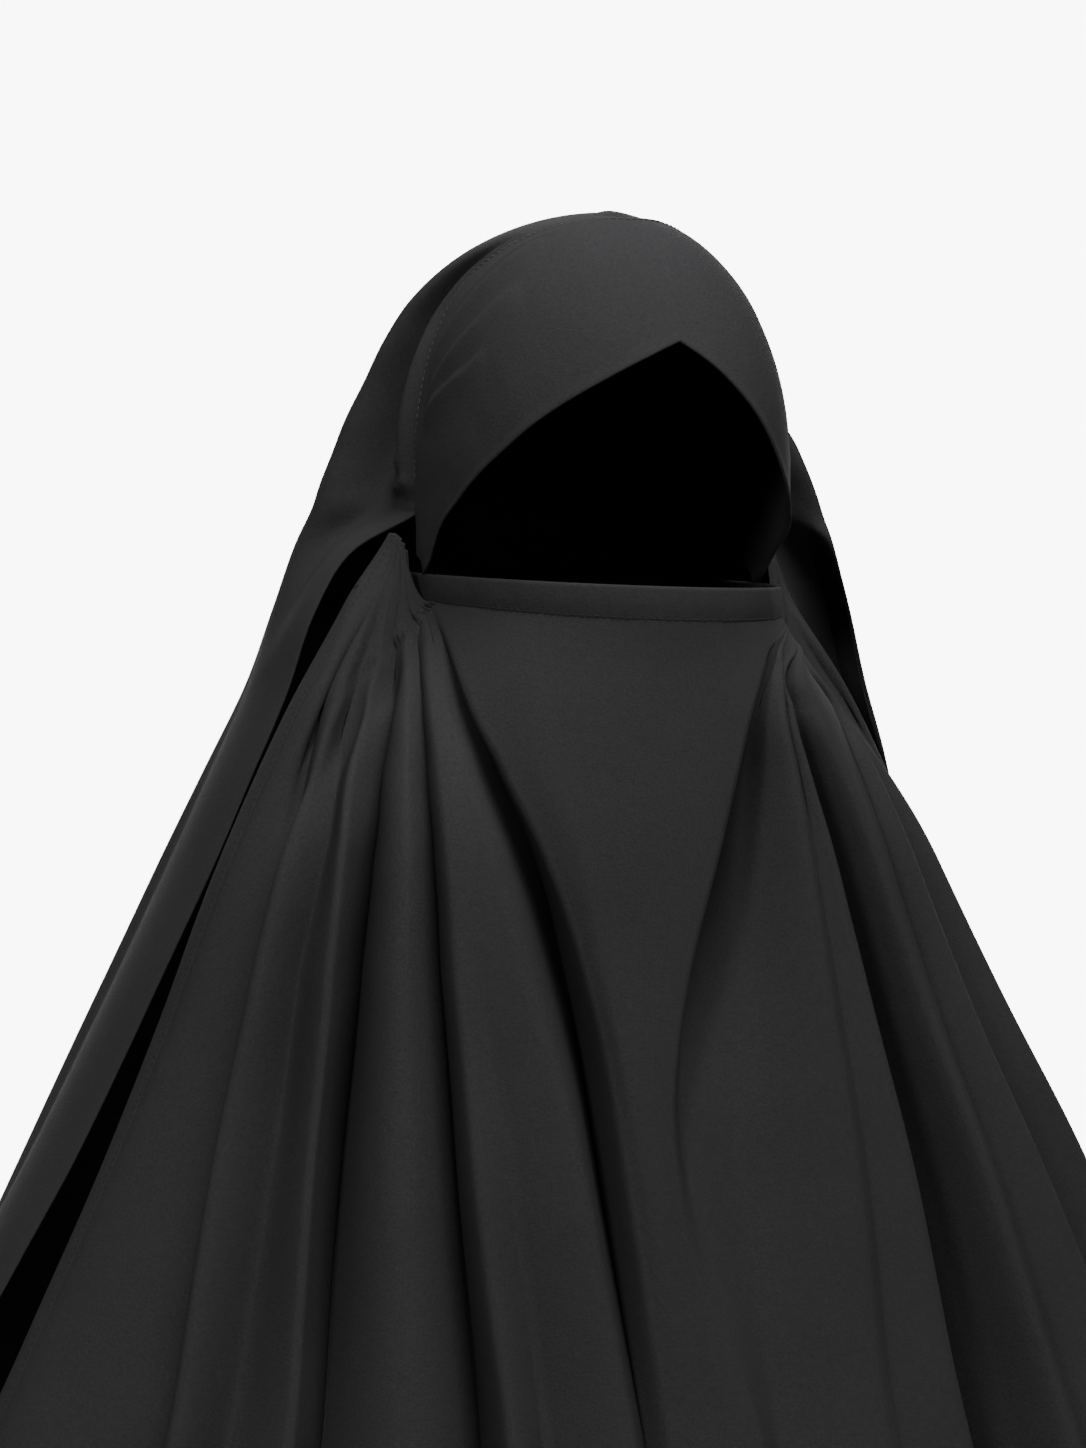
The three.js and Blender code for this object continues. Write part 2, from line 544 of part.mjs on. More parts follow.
// A closed sheet from a grid of points: one face offset outwards, one inwards, and rims between.
// lift is how much of the wall lies outside the grid, pole says that the first row is one point, and
// square turns the wall's direction at a point of the grid where it has to follow a neighbour.
function sheetSolid(point, across, down, wall, lift, pole, square) {
  const grid = [];
  for (let j = 0; j <= down; j += 1) {
    const row = [];
    for (let i = 0; i <= across; i += 1) row.push(point(i / across, j / down));
    grid.push(row);
  }
  const at = (i, j) => grid[THREE.MathUtils.clamp(j, 0, down)][THREE.MathUtils.clamp(i, 0, across)];
  const outer = [];
  const inner = [];
  for (let j = 0; j <= down; j += 1) {
    for (let i = 0; i <= across; i += 1) {
      const along = at(i + 1, j).clone().sub(at(i - 1, j));
      const below = at(i, j + 1).clone().sub(at(i, j - 1));
      const normal = below.cross(along).normalize();
      if (square) square(normal, i, j, at(i, j));
      outer.push(at(i, j).clone().addScaledVector(normal, wall * lift));
      inner.push(at(i, j).clone().addScaledVector(normal, wall * (lift - 1)));
    }
  }
  const points = outer.concat(inner);
  const offset = outer.length;
  const id = (i, j) => (pole && j === 0 ? 0 : j * (across + 1) + i);
  const faces = [];
  const quad = (a, b, c, d) => {
    if (a !== b && b !== c && a !== c) faces.push(a, c, b);
    if (a !== c && c !== d && a !== d) faces.push(a, d, c);
  };
  for (let j = 0; j < down; j += 1) {
    for (let i = 0; i < across; i += 1) {
      const a = id(i, j);
      const b = id(i + 1, j);
      const c = id(i + 1, j + 1);
      const d = id(i, j + 1);
      quad(a, b, c, d);
      quad(d + offset, c + offset, b + offset, a + offset);
    }
  }
  for (let i = 0; i < across; i += 1) {
    if (!pole) quad(id(i + 1, 0), id(i, 0), id(i, 0) + offset, id(i + 1, 0) + offset);
    quad(id(i, down), id(i + 1, down), id(i + 1, down) + offset, id(i, down) + offset);
  }
  for (let j = 0; j < down; j += 1) {
    quad(id(0, j), id(0, j + 1), id(0, j + 1) + offset, id(0, j) + offset);
    quad(id(across, j + 1), id(across, j), id(across, j) + offset, id(across, j + 1) + offset);
  }
  const geometry = new THREE.BufferGeometry();
  geometry.setAttribute('position', new THREE.BufferAttribute(
    new Float32Array(points.flatMap((p) => [p.x, p.y, p.z])), 3));
  geometry.setIndex(faces);
  geometry.computeVertexNormals();
  return geometry;
}

function clothMaterial(colour) {
  return new THREE.MeshStandardMaterial({ color: colour, roughness: 0.85, metalness: 0 });
}

// The wall's direction is level along the top row, under the casing
function levelAtTop(normal, i, j) {
  if (j === 0) normal.setZ(0).normalize();
}

function makeVeil() {
  const round = (u) => {
    const w = 1 - 2 * u;
    return w * (1 + edgeCrowding * (1 - w * w));
  };
  const point = (u, v) => veilPoint(round(u), Math.round(v * veilCells.down));
  const square = (normal, i, j, p) => {
    const atSeam = j <= crownRows && (j === 0 || i === 0 || i === veilCells.across);
    if (atSeam) normal.copy(outOfHead(p));
  };
  return sheetSolid(point, veilCells.across, veilCells.down, clothWall, 1, true, square);
}

function makeBrowBand() {
  const point = (u, v) => browPoint(2 * u - 1, v);
  const square = (normal, i, j, p) => normal.copy(outOfHead(p));
  return sheetSolid(point, browCells.across, browCells.down, clothWall, 1, false, square);
}

function makeFrontPanel() {
  const point = (u, v) => {
    const down = panelDown(v);
    const at = columnAt(linesAt(down), u * panelColumns);
    return panelPoint(at.place, down, at.sunk);
  };
  return sheetSolid(point, panelColumns, panelRowsDown, clothWall, 1, false, levelAtTop);
}

function makePanelHem(side) {
  const point = (u, v) => {
    const down = panelDown(v);
    const start = hemStart(down);
    const share = start + (1 - start) * (side > 0 ? u : 1 - u);
    return panelPoint(side * share, down, 0);
  };
  return sheetSolid(point, hemCells, panelRowsDown, hemWall, clothWall / hemWall, false, levelAtTop);
}

// The casing has its cells where the panel's columns start, so that both follow the same curve
function makeNoseCasing() {
  const lines = linesAt(0);
  const shares = [-1];
  for (let i = 0; i <= panelColumns; i += 1) {
    const share = columnAt(lines, i).place / casingShare;
    if (Math.abs(share) < 1 - sideStep) shares.push(share);
  }
  shares.push(1);
  const last = shares.length - 1;
  const point = (u, v) => casingPoint(shares[Math.round(u * last)], v);
  return sheetSolid(point, last, 1, hemWall, clothWall / hemWall, false);
}

function makeHeadTie() {
  return sheetSolid((u, v) => tiePoint(2 * u - 1, v), tieCells, 1, tieWall, 0.5, false);
}

const charcoal = 0x2b2b2e;
const pieces = [
  ['veil', makeVeil(), charcoal],
  ['brow_band', makeBrowBand(), charcoal],
  ['nose_casing', makeNoseCasing(), charcoal],
  ['front_panel', makeFrontPanel(), charcoal],
  ['panel_hem_right', makePanelHem(-1), charcoal],
  ['panel_hem_left', makePanelHem(1), charcoal],
  ['head_tie', makeHeadTie(), charcoal],
];

const khimar = new THREE.Group();
for (const [name, geometry, colour] of pieces) {
  const mesh = new THREE.Mesh(geometry, clothMaterial(colour));
  mesh.name = name;
  khimar.add(mesh);
}

export default khimar;
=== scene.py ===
# The looks of a long khimar veil with a tie-back face panel.
# Shapes are worked out in millimetres and turned into metres when a mesh is made.
# +Z is up, the wearer looks along -Y, and the wearer's left is +X.
import math
import bpy
import numpy as np
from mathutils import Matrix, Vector


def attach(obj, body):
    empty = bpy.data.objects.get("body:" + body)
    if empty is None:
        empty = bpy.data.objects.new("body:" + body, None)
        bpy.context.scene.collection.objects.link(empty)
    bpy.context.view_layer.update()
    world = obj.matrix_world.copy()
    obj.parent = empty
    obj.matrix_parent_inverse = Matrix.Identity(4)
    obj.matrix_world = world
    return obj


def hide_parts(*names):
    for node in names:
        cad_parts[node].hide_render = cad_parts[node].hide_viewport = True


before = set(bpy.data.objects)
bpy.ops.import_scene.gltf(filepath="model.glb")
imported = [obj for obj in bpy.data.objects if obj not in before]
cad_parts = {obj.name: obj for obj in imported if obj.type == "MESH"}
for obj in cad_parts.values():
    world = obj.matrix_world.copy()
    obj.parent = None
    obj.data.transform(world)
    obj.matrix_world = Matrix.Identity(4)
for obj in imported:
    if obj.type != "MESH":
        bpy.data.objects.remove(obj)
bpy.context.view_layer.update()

# Camera and studio, in metres
CAMERA_TURN = math.radians(-23)
CAMERA_DISTANCE = 1.7
CAMERA_HEIGHT = -0.0834
AIM_SIDE = -0.0218
AIM_HEIGHT = -0.2134
LENS_MM = 100.87
SENSOR_MM = 36
FLOOR_LEVEL = -0.884
FLOOR_RADIUS = 1.05

# Cloth, in millimetres
CLOTH_WALL = 1.2
HEM_WALL = 1.9
TIE_WALL = 1.8
SEAM_GAP = 0.12

# Head under the cloth, and the opening for the face
HEAD_HALF = 74.5
HEAD_DEPTH = 191
CROWN_HEIGHT = 110
HEAD_ROUNDNESS = 2.15
GATHER_SETBACK = 12
CASING_DROP = 153
CASING_HEIGHT = 13
CASING_TILT = math.radians(2.3)
CASING_HALF = 75.5
NOSE_REACH = 93.5
CASING_DEPTH = NOSE_REACH + GATHER_SETBACK
CASING_SHARE = 0.88
CASING_TAPER = 0.2
TIE_HEIGHT = 10.4
HALVINGS = 40
SIDE_STEP = 0.01

# Gathers beside the ears
GATHER_HALF = 86
GATHER_DROP = 137
GATHER_BACK = 14
GATHER_BEND = 0.42
GATHER_RISE = 0.85

# Front panel
FRONT_HEM_DROP = 830
PANEL_HEM_HALF = 362
PANEL_HEM_REACH = 185
PANEL_SIDE_BACK = 12
HEM_WIDTH = 12
HEM_START_WIDTH = 0.35
HEM_FULL_WIDTH_DOWN = 0.055
EVEN_SHARE = 0.5
HOLD_MIDDLE = 0.16
HOLD_SIDE = 0.04
HOLD_FROM = 0.8
HOLD_WIDTH = 0.14
FALL_TOP = CASING_DROP + CASING_HEIGHT
PANEL_CROWDING = 1.7
FOLD_DEPTH = 30

# Veil
BACK_HEM_DROP = 880
VEIL_HEM_HALF = 375
VEIL_HEM_BACK = 245
VEIL_SIDE_TURN = math.radians(100)
EDGE_SETBACK = 18
ROLL_BACK = 0.22
RIGHT_TUCK = 0.62
LEFT_TUCK = 0.86
ROLL = {"place": 8, "clear": 3, "start_turn": 35, "start_width": 20, "end_fall": 0.12, "end_width": 0.12}
CROWN_ROWS = 10
VEIL_ROWS_DOWN = 28
VEIL_CROWDING = 1.15
TURN_STEP = 7

# Angles of the brow band: turn to the side, back edge at the seam, lower edge on the wearer's right and left
BROW_TURN = [0, 6, 12, 18, 24, 36, 52, 70, 84]
BROW_SEAM = [15.5, 14, 10.5, 5, -1.5, -3.5, -4, -4, -4]
BROW_RIGHT = [44.6, 46.9, 48.6, 49.7, 50.3, 51.2, 51.5, 54.5, 85.5]
BROW_LEFT = [44.6, 48.1, 51.7, 55.2, 58.8, 64, 65.5, 66, 85.5]

# Sections of the front panel by fall from the casing to the hem, as shares of the growth
PANEL_FALL = [-0.05, 0, 0.063, 0.158, 0.25, 0.345, 0.44, 0.533, 0.75, 1]
PANEL_RIGHT = [0.05, 0.115, 0.2, 0.305, 0.39, 0.485, 0.59, 0.69, 0.86, 1]
PANEL_LEFT = [0, 0.065, 0.158, 0.272, 0.39, 0.52, 0.63, 0.725, 0.87, 1]
PANEL_FRONT = [0, 0.01, 0.06, 0.13, 0.22, 0.34, 0.46, 0.6, 0.85, 1]

# Lines down the front panel from the wearer's right to the left. sharp says how much of a crease the line
# is, places are shares of the half panel at the levels, and sunk is the depth there in shares of FOLD_DEPTH.
LEVELS = [0, 0.013, 0.027, 0.055, 0.09, 0.14, 0.22, 0.31, 0.5, 1]
PANEL_LINES = [
    {"name": "right crease", "cells": 6, "sharp": 1.2,
     "places": [-0.971, -0.954, -0.928, -0.894, -0.854, -0.812, -0.788, -0.734, -0.635, -0.62],
     "sunk": [0.03, 0.03, 0.1, 0.2, 0.3, 0.36, 0.42, 0.46, 0.5, 0.4]},
    {"name": "ridge behind the crease", "cells": 8, "sharp": 0.2,
     "places": [-0.9692, -0.948, -0.918, -0.881, -0.839, -0.763, -0.723, -0.692, -0.604, -0.57],
     "sunk": [-0.02, -0.01, -0.02, -0.05, -0.06, -0.07, -0.08, -0.08, -0.08, -0.08]},
    {"name": "soft outer valley", "cells": 12, "sharp": 0.1,
     "places": [-0.9666, -0.942, -0.908, -0.868, -0.82, -0.71, -0.675, -0.623, -0.548, -0.51],
     "sunk": [0.04, 0.01, 0.04, 0.12, 0.22, 0.36, 0.46, 0.52, 0.58, 0.5]},
    {"name": "box pleat ridge", "cells": 12, "sharp": 0.9,
     "places": [-0.9637, -0.928, -0.895, -0.843, -0.742, -0.631, -0.576, -0.535, -0.459, -0.42],
     "sunk": [-0.03, -0.01, -0.02, -0.04, -0.059, -0.08, -0.092, -0.1, -0.1, -0.1]},
    {"name": "box pleat valley", "cells": 12, "sharp": 1.3,
     "places": [-0.9583, -0.914, -0.881, -0.817, -0.728, -0.615, -0.56, -0.519, -0.431, -0.37],
     "sunk": [0.06, 0.02, 0.09, 0.28, 0.52, 0.75, 0.9, 1, 0.8, 0.8]},
    {"name": "broad pleat", "cells": 12, "sharp": 0,
     "places": [-0.954, -0.896, -0.859, -0.722, -0.598, -0.501, -0.453, -0.409, -0.333, -0.3],
     "sunk": [-0.03, -0.015, -0.03, -0.06, -0.089, -0.12, -0.138, -0.15, -0.15, -0.15]},
    {"name": "deep valley", "cells": 8, "sharp": 1.4,
     "places": [-0.9492, -0.881, -0.839, -0.709, -0.583, -0.464, -0.394, -0.334, -0.24, -0.17],
     "sunk": [0.06, 0.04, 0.1, 0.22, 0.36, 0.5, 0.632, 0.75, 0.9, 0.9]},
    {"name": "ridge after the deep valley", "cells": 6, "sharp": 0.4,
     "places": [-0.9474, -0.871, -0.793, -0.651, -0.525, -0.425, -0.364, -0.309, -0.22, -0.14],
     "sunk": [-0.02, 0, 0, -0.02, -0.022, -0.02, -0.021, -0.02, 0, 0]},
    {"name": "low crease", "cells": 6, "sharp": 1,
     "places": [-0.9463, -0.862, -0.783, -0.638, -0.508, -0.404, -0.33, -0.264, -0.182, -0.11],
     "sunk": [0, 0, 0, 0, -0.002, 0, 0.06, 0.2, 0.45, 0.4]},
    {"name": "start of the broad valley", "cells": 8, "sharp": 0.2,
     "places": [-0.93, -0.856, -0.773, -0.625, -0.481, -0.355, -0.257, -0.178, -0.101, -0.03],
     "sunk": [0, 0.03, 0.06, 0.1, 0.097, 0.08, 0.049, 0.02, 0, 0]},
    {"name": "broad valley", "cells": 8, "sharp": 0.7,
     "places": [-0.91, -0.816, -0.744, -0.611, -0.435, -0.274, -0.18, -0.134, -0.081, 0],
     "sunk": [0, 0.05, 0.18, 0.5, 0.82, 1.08, 1.102, 1, 0.35, 0]},
    {"name": "bib right edge", "cells": 14, "sharp": 0.5,
     "places": [-0.885, -0.784, -0.695, -0.544, -0.388, -0.257, -0.164, -0.114, -0.061, 0.015],
     "sunk": [0, 0.02, 0.04, 0.08, 0.1, 0.12, 0.116, 0.1, 0.03, 0]},
    {"name": "bib right half", "cells": 26, "sharp": 0.3,
     "places": [-0.6, -0.524, -0.45, -0.36, -0.283, -0.2, -0.142, -0.095, -0.041, 0.03],
     "sunk": [0, 0, 0, 0, 0, 0, 0, 0, 0, 0]},
    {"name": "bib middle", "cells": 26, "sharp": 0.3,
     "places": [0.0, -0.025, -0.05, -0.08, -0.083, -0.08, -0.08, -0.075, -0.021, 0.045],
     "sunk": [0, 0.01, 0.02, 0.02, 0.011, 0, -0.001, 0, 0, 0]},
    {"name": "bib left edge", "cells": 8, "sharp": 0.3,
     "places": [0.7, 0.378, 0.273, 0.165, 0.093, 0.032, -0.033, -0.055, -0.001, 0.06],
     "sunk": [0, 0, -0.01, -0.03, -0.05, -0.06, -0.031, 0, 0, 0]},
    {"name": "pocket behind the bib", "cells": 10, "sharp": 1,
     "places": [0.74, 0.402, 0.295, 0.19, 0.124, 0.06, 0.002, -0.035, 0.03, 0.075],
     "sunk": [0, 0, 0.14, 0.6, 1.2, 1.25, 0.8, 0.3, 0.02, 0]},
    {"name": "soft middle valley", "cells": 10, "sharp": 0.2,
     "places": [0.8, 0.448, 0.352, 0.245, 0.185, 0.13, 0.086, 0.055, 0.06, 0.1],
     "sunk": [0, 0, 0.06, 0.28, 0.52, 0.62, 0.62, 0.52, 0.34, 0.25]},
    {"name": "inner ridge", "cells": 6, "sharp": 0.5,
     "places": [0.885, 0.478, 0.362, 0.277, 0.243, 0.219, 0.206, 0.193, 0.161, 0.17],
     "sunk": [-0.02, -0.015, -0.03, -0.05, -0.052, -0.05, -0.05, -0.05, -0.05, -0.05]},
    {"name": "narrow step", "cells": 6, "sharp": 1,
     "places": [0.91, 0.502, 0.388, 0.306, 0.275, 0.249, 0.235, 0.22, 0.185, 0.22],
     "sunk": [0.02, 0.015, 0.03, 0.06, 0.071, 0.08, 0.091, 0.1, 0.1, 0.1]},
    {"name": "ridge before the inner valley", "cells": 8, "sharp": 0.6,
     "places": [0.93, 0.767, 0.398, 0.319, 0.291, 0.282, 0.282, 0.278, 0.26, 0.27],
     "sunk": [-0.02, -0.01, -0.02, -0.03, -0.035, -0.04, -0.046, -0.05, -0.05, -0.05]},
    {"name": "inner valley", "cells": 8, "sharp": 0.7,
     "places": [0.9474, 0.773, 0.45, 0.362, 0.347, 0.338, 0.337, 0.336, 0.326, 0.315],
     "sunk": [0.06, 0.02, 0.1, 0.5, 0.95, 1.25, 1.4, 1.5, 1.45, 1.2]},
    {"name": "rise after the inner valley", "cells": 6, "sharp": 0.6,
     "places": [0.9492, 0.779, 0.465, 0.384, 0.372, 0.366, 0.366, 0.366, 0.362, 0.36],
     "sunk": [0, 0, 0.03, 0.25, 0.45, 0.62, 0.74, 0.8, 0.8, 0.5]},
    {"name": "bright roll", "cells": 10, "sharp": 0.1,
     "places": [0.9529, 0.881, 0.525, 0.43, 0.41, 0.402, 0.401, 0.402, 0.402, 0.42],
     "sunk": [-0.03, -0.02, -0.04, -0.06, -0.07, -0.08, -0.091, -0.1, -0.1, -0.1]},
    {"name": "outer soft line", "cells": 10, "sharp": 0.8,
     "places": [0.9565, 0.887, 0.63, 0.673, 0.577, 0.509, 0.476, 0.455, 0.444, 0.5],
     "sunk": [0.04, 0.025, 0.05, 0.1, 0.161, 0.18, 0.2, 0.22, 0.25, 0.3]},
    {"name": "outer ridge", "cells": 10, "sharp": 0.1,
     "places": [0.9601, 0.893, 0.7, 0.685, 0.608, 0.55, 0.528, 0.52, 0.54, 0.58],
     "sunk": [-0.03, 0, 0, 0, -0.017, -0.04, -0.052, -0.06, -0.06, -0.06]},
    {"name": "side valley", "cells": 10, "sharp": 0.6,
     "places": [0.9637, 0.899, 0.78, 0.74, 0.702, 0.66, 0.635, 0.62, 0.63, 0.66],
     "sunk": [0.04, 0.075, 0.15, 0.25, 0.303, 0.35, 0.377, 0.4, 0.45, 0.5]},
    {"name": "side ridge", "cells": 10, "sharp": 0.1,
     "places": [0.9674, 0.911, 0.86, 0.82, 0.795, 0.77, 0.747, 0.73, 0.74, 0.76],
     "sunk": [-0.02, 0, 0, 0, -0.013, -0.03, -0.037, -0.04, -0.04, -0.04]},
    {"name": "edge valley", "cells": 10, "sharp": 0.6,
     "places": [0.971, 0.945, 0.92, 0.885, 0.875, 0.87, 0.859, 0.85, 0.85, 0.86],
     "sunk": [0.03, 0.04, 0.08, 0.12, 0.149, 0.18, 0.216, 0.25, 0.3, 0.35]},
]
CELLS_TO_FIRST_LINE = 8
PANEL_ROWS_DOWN = 150

# Rings of the veil over the crown, from turn 0 in steps of TURN_STEP, as shares of the head's sizes
RING_RIGHT = [0, 0.25, 0.52, 0.76, 0.95, 1.08, 1.17, 1.27, 1.34, 1.41, 1.46]
RING_LEFT = [0, 0.25, 0.52, 0.76, 0.95, 1.1, 1.24, 1.4, 1.48, 1.55, 1.6]
RING_BACK = [-0.3, -0.04, 0.24, 0.5, 0.76, 0.96, 1.12, 1.23, 1.31, 1.36, 1.4]
RING_LOW = [0.025, 0, 0.008, 0.06, 0.18, 0.36, 0.55, 0.73, 0.89, 1.03, 1.15]

# Sections of the veil below the crown
VEIL_FALL = [-0.018, 0.02, 0.08, 0.12, 0.166, 0.25, 0.335, 0.52, 0.77, 1]
VEIL_RIGHT = [0.128, 0.155, 0.195, 0.236, 0.283, 0.376, 0.475, 0.69, 0.9, 1]
VEIL_RIGHT_EDGE = [0.08, 0.135, 0.185, 0.228, 0.275, 0.37, 0.467, 0.7, 0.89, 1]
VEIL_LEFT = [0.151, 0.175, 0.208, 0.235, 0.287, 0.386, 0.482, 0.69, 0.9, 1]
VEIL_LEFT_EDGE = [0.06, 0.112, 0.16, 0.2, 0.262, 0.37, 0.472, 0.7, 0.89, 1]
VEIL_BACK = [0.3, 0.36, 0.46, 0.54, 0.62, 0.7, 0.78, 0.9, 0.97, 1]

# Folds of the veil: place round it, start and end on the way down, width, and depth outwards in shares
# of FOLD_DEPTH
VEIL_FOLDS = [
    {"name": "right ridge at the seam",
     "place": -0.93, "start": 0.1, "end": 0.36, "depth": 0.16, "width": 0.035},
    {"name": "right valley behind it",
     "place": -0.825, "start": 0.07, "end": 0.45, "depth": -0.62, "width": 0.07},
    {"name": "right second fold",
     "place": -0.62, "start": 0.42, "end": 0.85, "depth": 0.3, "width": 0.05},
    {"name": "left valley at the seam",
     "place": 0.935, "start": 0.16, "end": 0.56, "depth": -0.42, "width": 0.03},
]
# Soft flutes at the back: how many would go all the way round, their depth in shares of FOLD_DEPTH, where
# they begin and are full on the way down, and how far round they reach and fade
FLUTE_COUNT = 6
FLUTE_DEPTH = 0.42
FLUTE_START = 0.3
FLUTE_GROWTH = 0.4
FLUTE_REACH = 0.45
FLUTE_FADE = 0.25


def smooth(x):
    s = np.clip(x, 0, 1)
    return s * s * (3 - 2 * s)


def read_rows(keys, values, key):
    """A smooth curve through a table's column, by cubic pieces between its rows."""
    keys = np.asarray(keys, float)
    values = np.asarray(values, float)
    key = np.asarray(key, float)
    count = len(keys)
    low = np.maximum(np.arange(count) - 1, 0)
    high = np.minimum(np.arange(count) + 1, count - 1)
    slope = (values[high] - values[low]) / (keys[high] - keys[low])
    row = np.searchsorted(keys[1:-1], key, side="left")
    span = keys[row + 1] - keys[row]
    s = np.clip((key - keys[row]) / span, 0, 1)
    rest = 1 - s
    return (values[row] * (1 + 2 * s) * rest * rest + slope[row] * span * s * rest * rest
            + values[row + 1] * s * s * (3 - 2 * s) - slope[row + 1] * span * s * s * rest)


def lattice(x, y, seed):
    """Smooth noise from -1 to 1 with one value for each whole step of x and y."""
    table = np.random.default_rng(seed).uniform(-1, 1, (64, 64))
    column = np.floor(x).astype(int)
    line = np.floor(y).astype(int)
    fx = smooth(x - column)
    fy = smooth(y - line)
    a = table[line % 64, column % 64]
    b = table[line % 64, (column + 1) % 64]
    c = table[(line + 1) % 64, column % 64]
    d = table[(line + 1) % 64, (column + 1) % 64]
    return (a * (1 - fx) + b * fx) * (1 - fy) + (c * (1 - fx) + d * fx) * fy


def unit(v):
    return v / np.maximum(np.linalg.norm(v, axis=-1, keepdims=True), 1e-9)


def casing_drop(x):
    return CASING_DROP + x * math.tan(CASING_TILT)


def head_reach(centre, direction):
    """How far the cloth on the head lies from a point inside it, along each direction."""
    low = np.zeros(direction.shape[:-1])
    high = np.full(direction.shape[:-1], float(HEAD_DEPTH + CROWN_HEIGHT))
    for _ in range(HALVINGS):
        middle = (low + high) / 2
        p = centre + direction * middle[..., None]
        rise = np.maximum(p[..., 2] + CROWN_HEIGHT, 0)
        total = (np.abs(p[..., 0] / HEAD_HALF) ** HEAD_ROUNDNESS
                 + np.abs(2 * p[..., 1] / HEAD_DEPTH) ** HEAD_ROUNDNESS
                 + (rise / CROWN_HEIGHT) ** HEAD_ROUNDNESS)
        low = np.where(total < 1, middle, low)
        high = np.where(total < 1, high, middle)
    return low


def out_of_head(p):
    """The direction straight out of the head at points of the cloth on it."""
    def slope(length, size):
        return np.sign(length) * (np.abs(length) / size) ** (HEAD_ROUNDNESS - 1) / size
    rise = np.maximum(p[..., 2] + CROWN_HEIGHT, 0)
    return unit(np.stack(
        [slope(p[..., 0], HEAD_HALF), slope(p[..., 1], HEAD_DEPTH / 2), slope(rise, CROWN_HEIGHT)], axis=-1))


def gather_line(turn):
    x = HEAD_HALF * np.sin(np.radians(turn))
    return np.stack([np.zeros_like(x), np.full_like(x, GATHER_SETBACK), -casing_drop(x)], axis=-1)


def on_head(turn, angle):
    """Points on the head at a turn to the side and an angle from the vertical, both in degrees."""
    turn = np.asarray(turn, float)
    w = np.radians(turn)
    g = np.radians(angle)
    direction = np.stack([np.sin(w), -np.cos(w) * np.sin(g), np.cos(w) * np.cos(g)], axis=-1)
    centre = gather_line(turn)
    return centre + direction * head_reach(centre, direction)[..., None]


def gap_angle(turn, gap):
    turn = np.asarray(turn, float)
    reach = np.linalg.norm(on_head(turn, np.zeros_like(turn)) - gather_line(turn), axis=-1)
    return np.degrees(gap / (reach * np.cos(np.radians(turn))))


def brow_angles(turn):
    size = np.abs(turn)
    back = read_rows(BROW_TURN, BROW_SEAM, size)
    edge = np.where(turn < 0, read_rows(BROW_TURN, BROW_RIGHT, size), read_rows(BROW_TURN, BROW_LEFT, size))
    return back, edge


def casing_point(across, down):
    angle = across * CASING_SHARE * math.pi / 2
    x = CASING_HALF * np.sin(angle)
    y = GATHER_SETBACK - CASING_DEPTH * np.cos(angle)
    height = CASING_HEIGHT * (1 - CASING_TAPER * across * across)
    return np.stack([x, y, -casing_drop(x) - down * height], axis=-1)


def panel_top(share):
    side = np.sign(share)
    size = np.abs(share)
    middle = casing_point(np.clip(share / CASING_SHARE, -1, 1), 1.0)
    middle[..., 2] -= SEAM_GAP
    g = np.clip((size - CASING_SHARE) / (1 - CASING_SHARE), 0, 1)
    end_x = side * GATHER_HALF
    high = -GATHER_DROP - end_x * math.tan(CASING_TILT)
    gathered = np.stack([
        middle[..., 0] + (end_x - middle[..., 0]) * g ** GATHER_BEND,
        middle[..., 1] + (GATHER_BACK - middle[..., 1]) * g,
        middle[..., 2] + (high - middle[..., 2]) * smooth(g / GATHER_RISE)], axis=-1)
    return np.where((size <= CASING_SHARE)[..., None], middle, gathered)


def panel_free(share, drop):
    fall = (drop - FALL_TOP) / (FRONT_HEM_DROP - FALL_TOP)
    right = read_rows(PANEL_FALL, PANEL_RIGHT, fall)
    left = read_rows(PANEL_FALL, PANEL_LEFT, fall)
    even = 0.5 * (right + left)
    widen = np.where(share < 0, right, left)
    mix = even + (widen - even) * smooth(np.abs(share) / EVEN_SHARE)
    half = CASING_HALF + (PANEL_HEM_HALF - CASING_HALF) * mix
    reach = NOSE_REACH + (PANEL_HEM_REACH - NOSE_REACH) * read_rows(PANEL_FALL, PANEL_FRONT, fall)
    angle = share * math.pi / 2
    y = PANEL_SIDE_BACK - (reach + PANEL_SIDE_BACK) * np.cos(angle)
    return np.stack([half * np.sin(angle), y, -drop], axis=-1)


def panel_smooth(across, down):
    """A point of the smooth front panel, across from -1 to 1 and down from 0 to 1."""
    top = panel_top(across)
    drop = -top[..., 2] + (FRONT_HEM_DROP + top[..., 2]) * down
    free = panel_free(across, drop)
    free_top = panel_free(across, -top[..., 2])
    to_side = smooth((np.abs(across) - HOLD_FROM) / HOLD_WIDTH)
    reach_down = HOLD_MIDDLE + (HOLD_SIDE - HOLD_MIDDLE) * to_side
    hold = 1 - smooth(down / reach_down)
    return free + (top - free_top) * hold[..., None]


def panel_point(across, down, out):
    """A point of the panel, moved out of the smooth one by a length in millimetres."""
    along = panel_smooth(across + SIDE_STEP, down) - panel_smooth(across - SIDE_STEP, down)
    outward = unit(np.stack([along[..., 1], -along[..., 0], np.zeros_like(across)], axis=-1))
    return panel_smooth(across, down) + outward * out[..., None]


def edge_rate(down):
    reach = NOSE_REACH + (PANEL_HEM_REACH - NOSE_REACH) * read_rows(PANEL_FALL, PANEL_FRONT, down)
    return (reach + PANEL_SIDE_BACK) * math.pi / 2


def hem_narrowing(down):
    return HEM_START_WIDTH + (1 - HEM_START_WIDTH) * smooth(down / HEM_FULL_WIDTH_DOWN)


def hem_start(down):
    return 1 - HEM_WIDTH * hem_narrowing(down) / edge_rate(down)


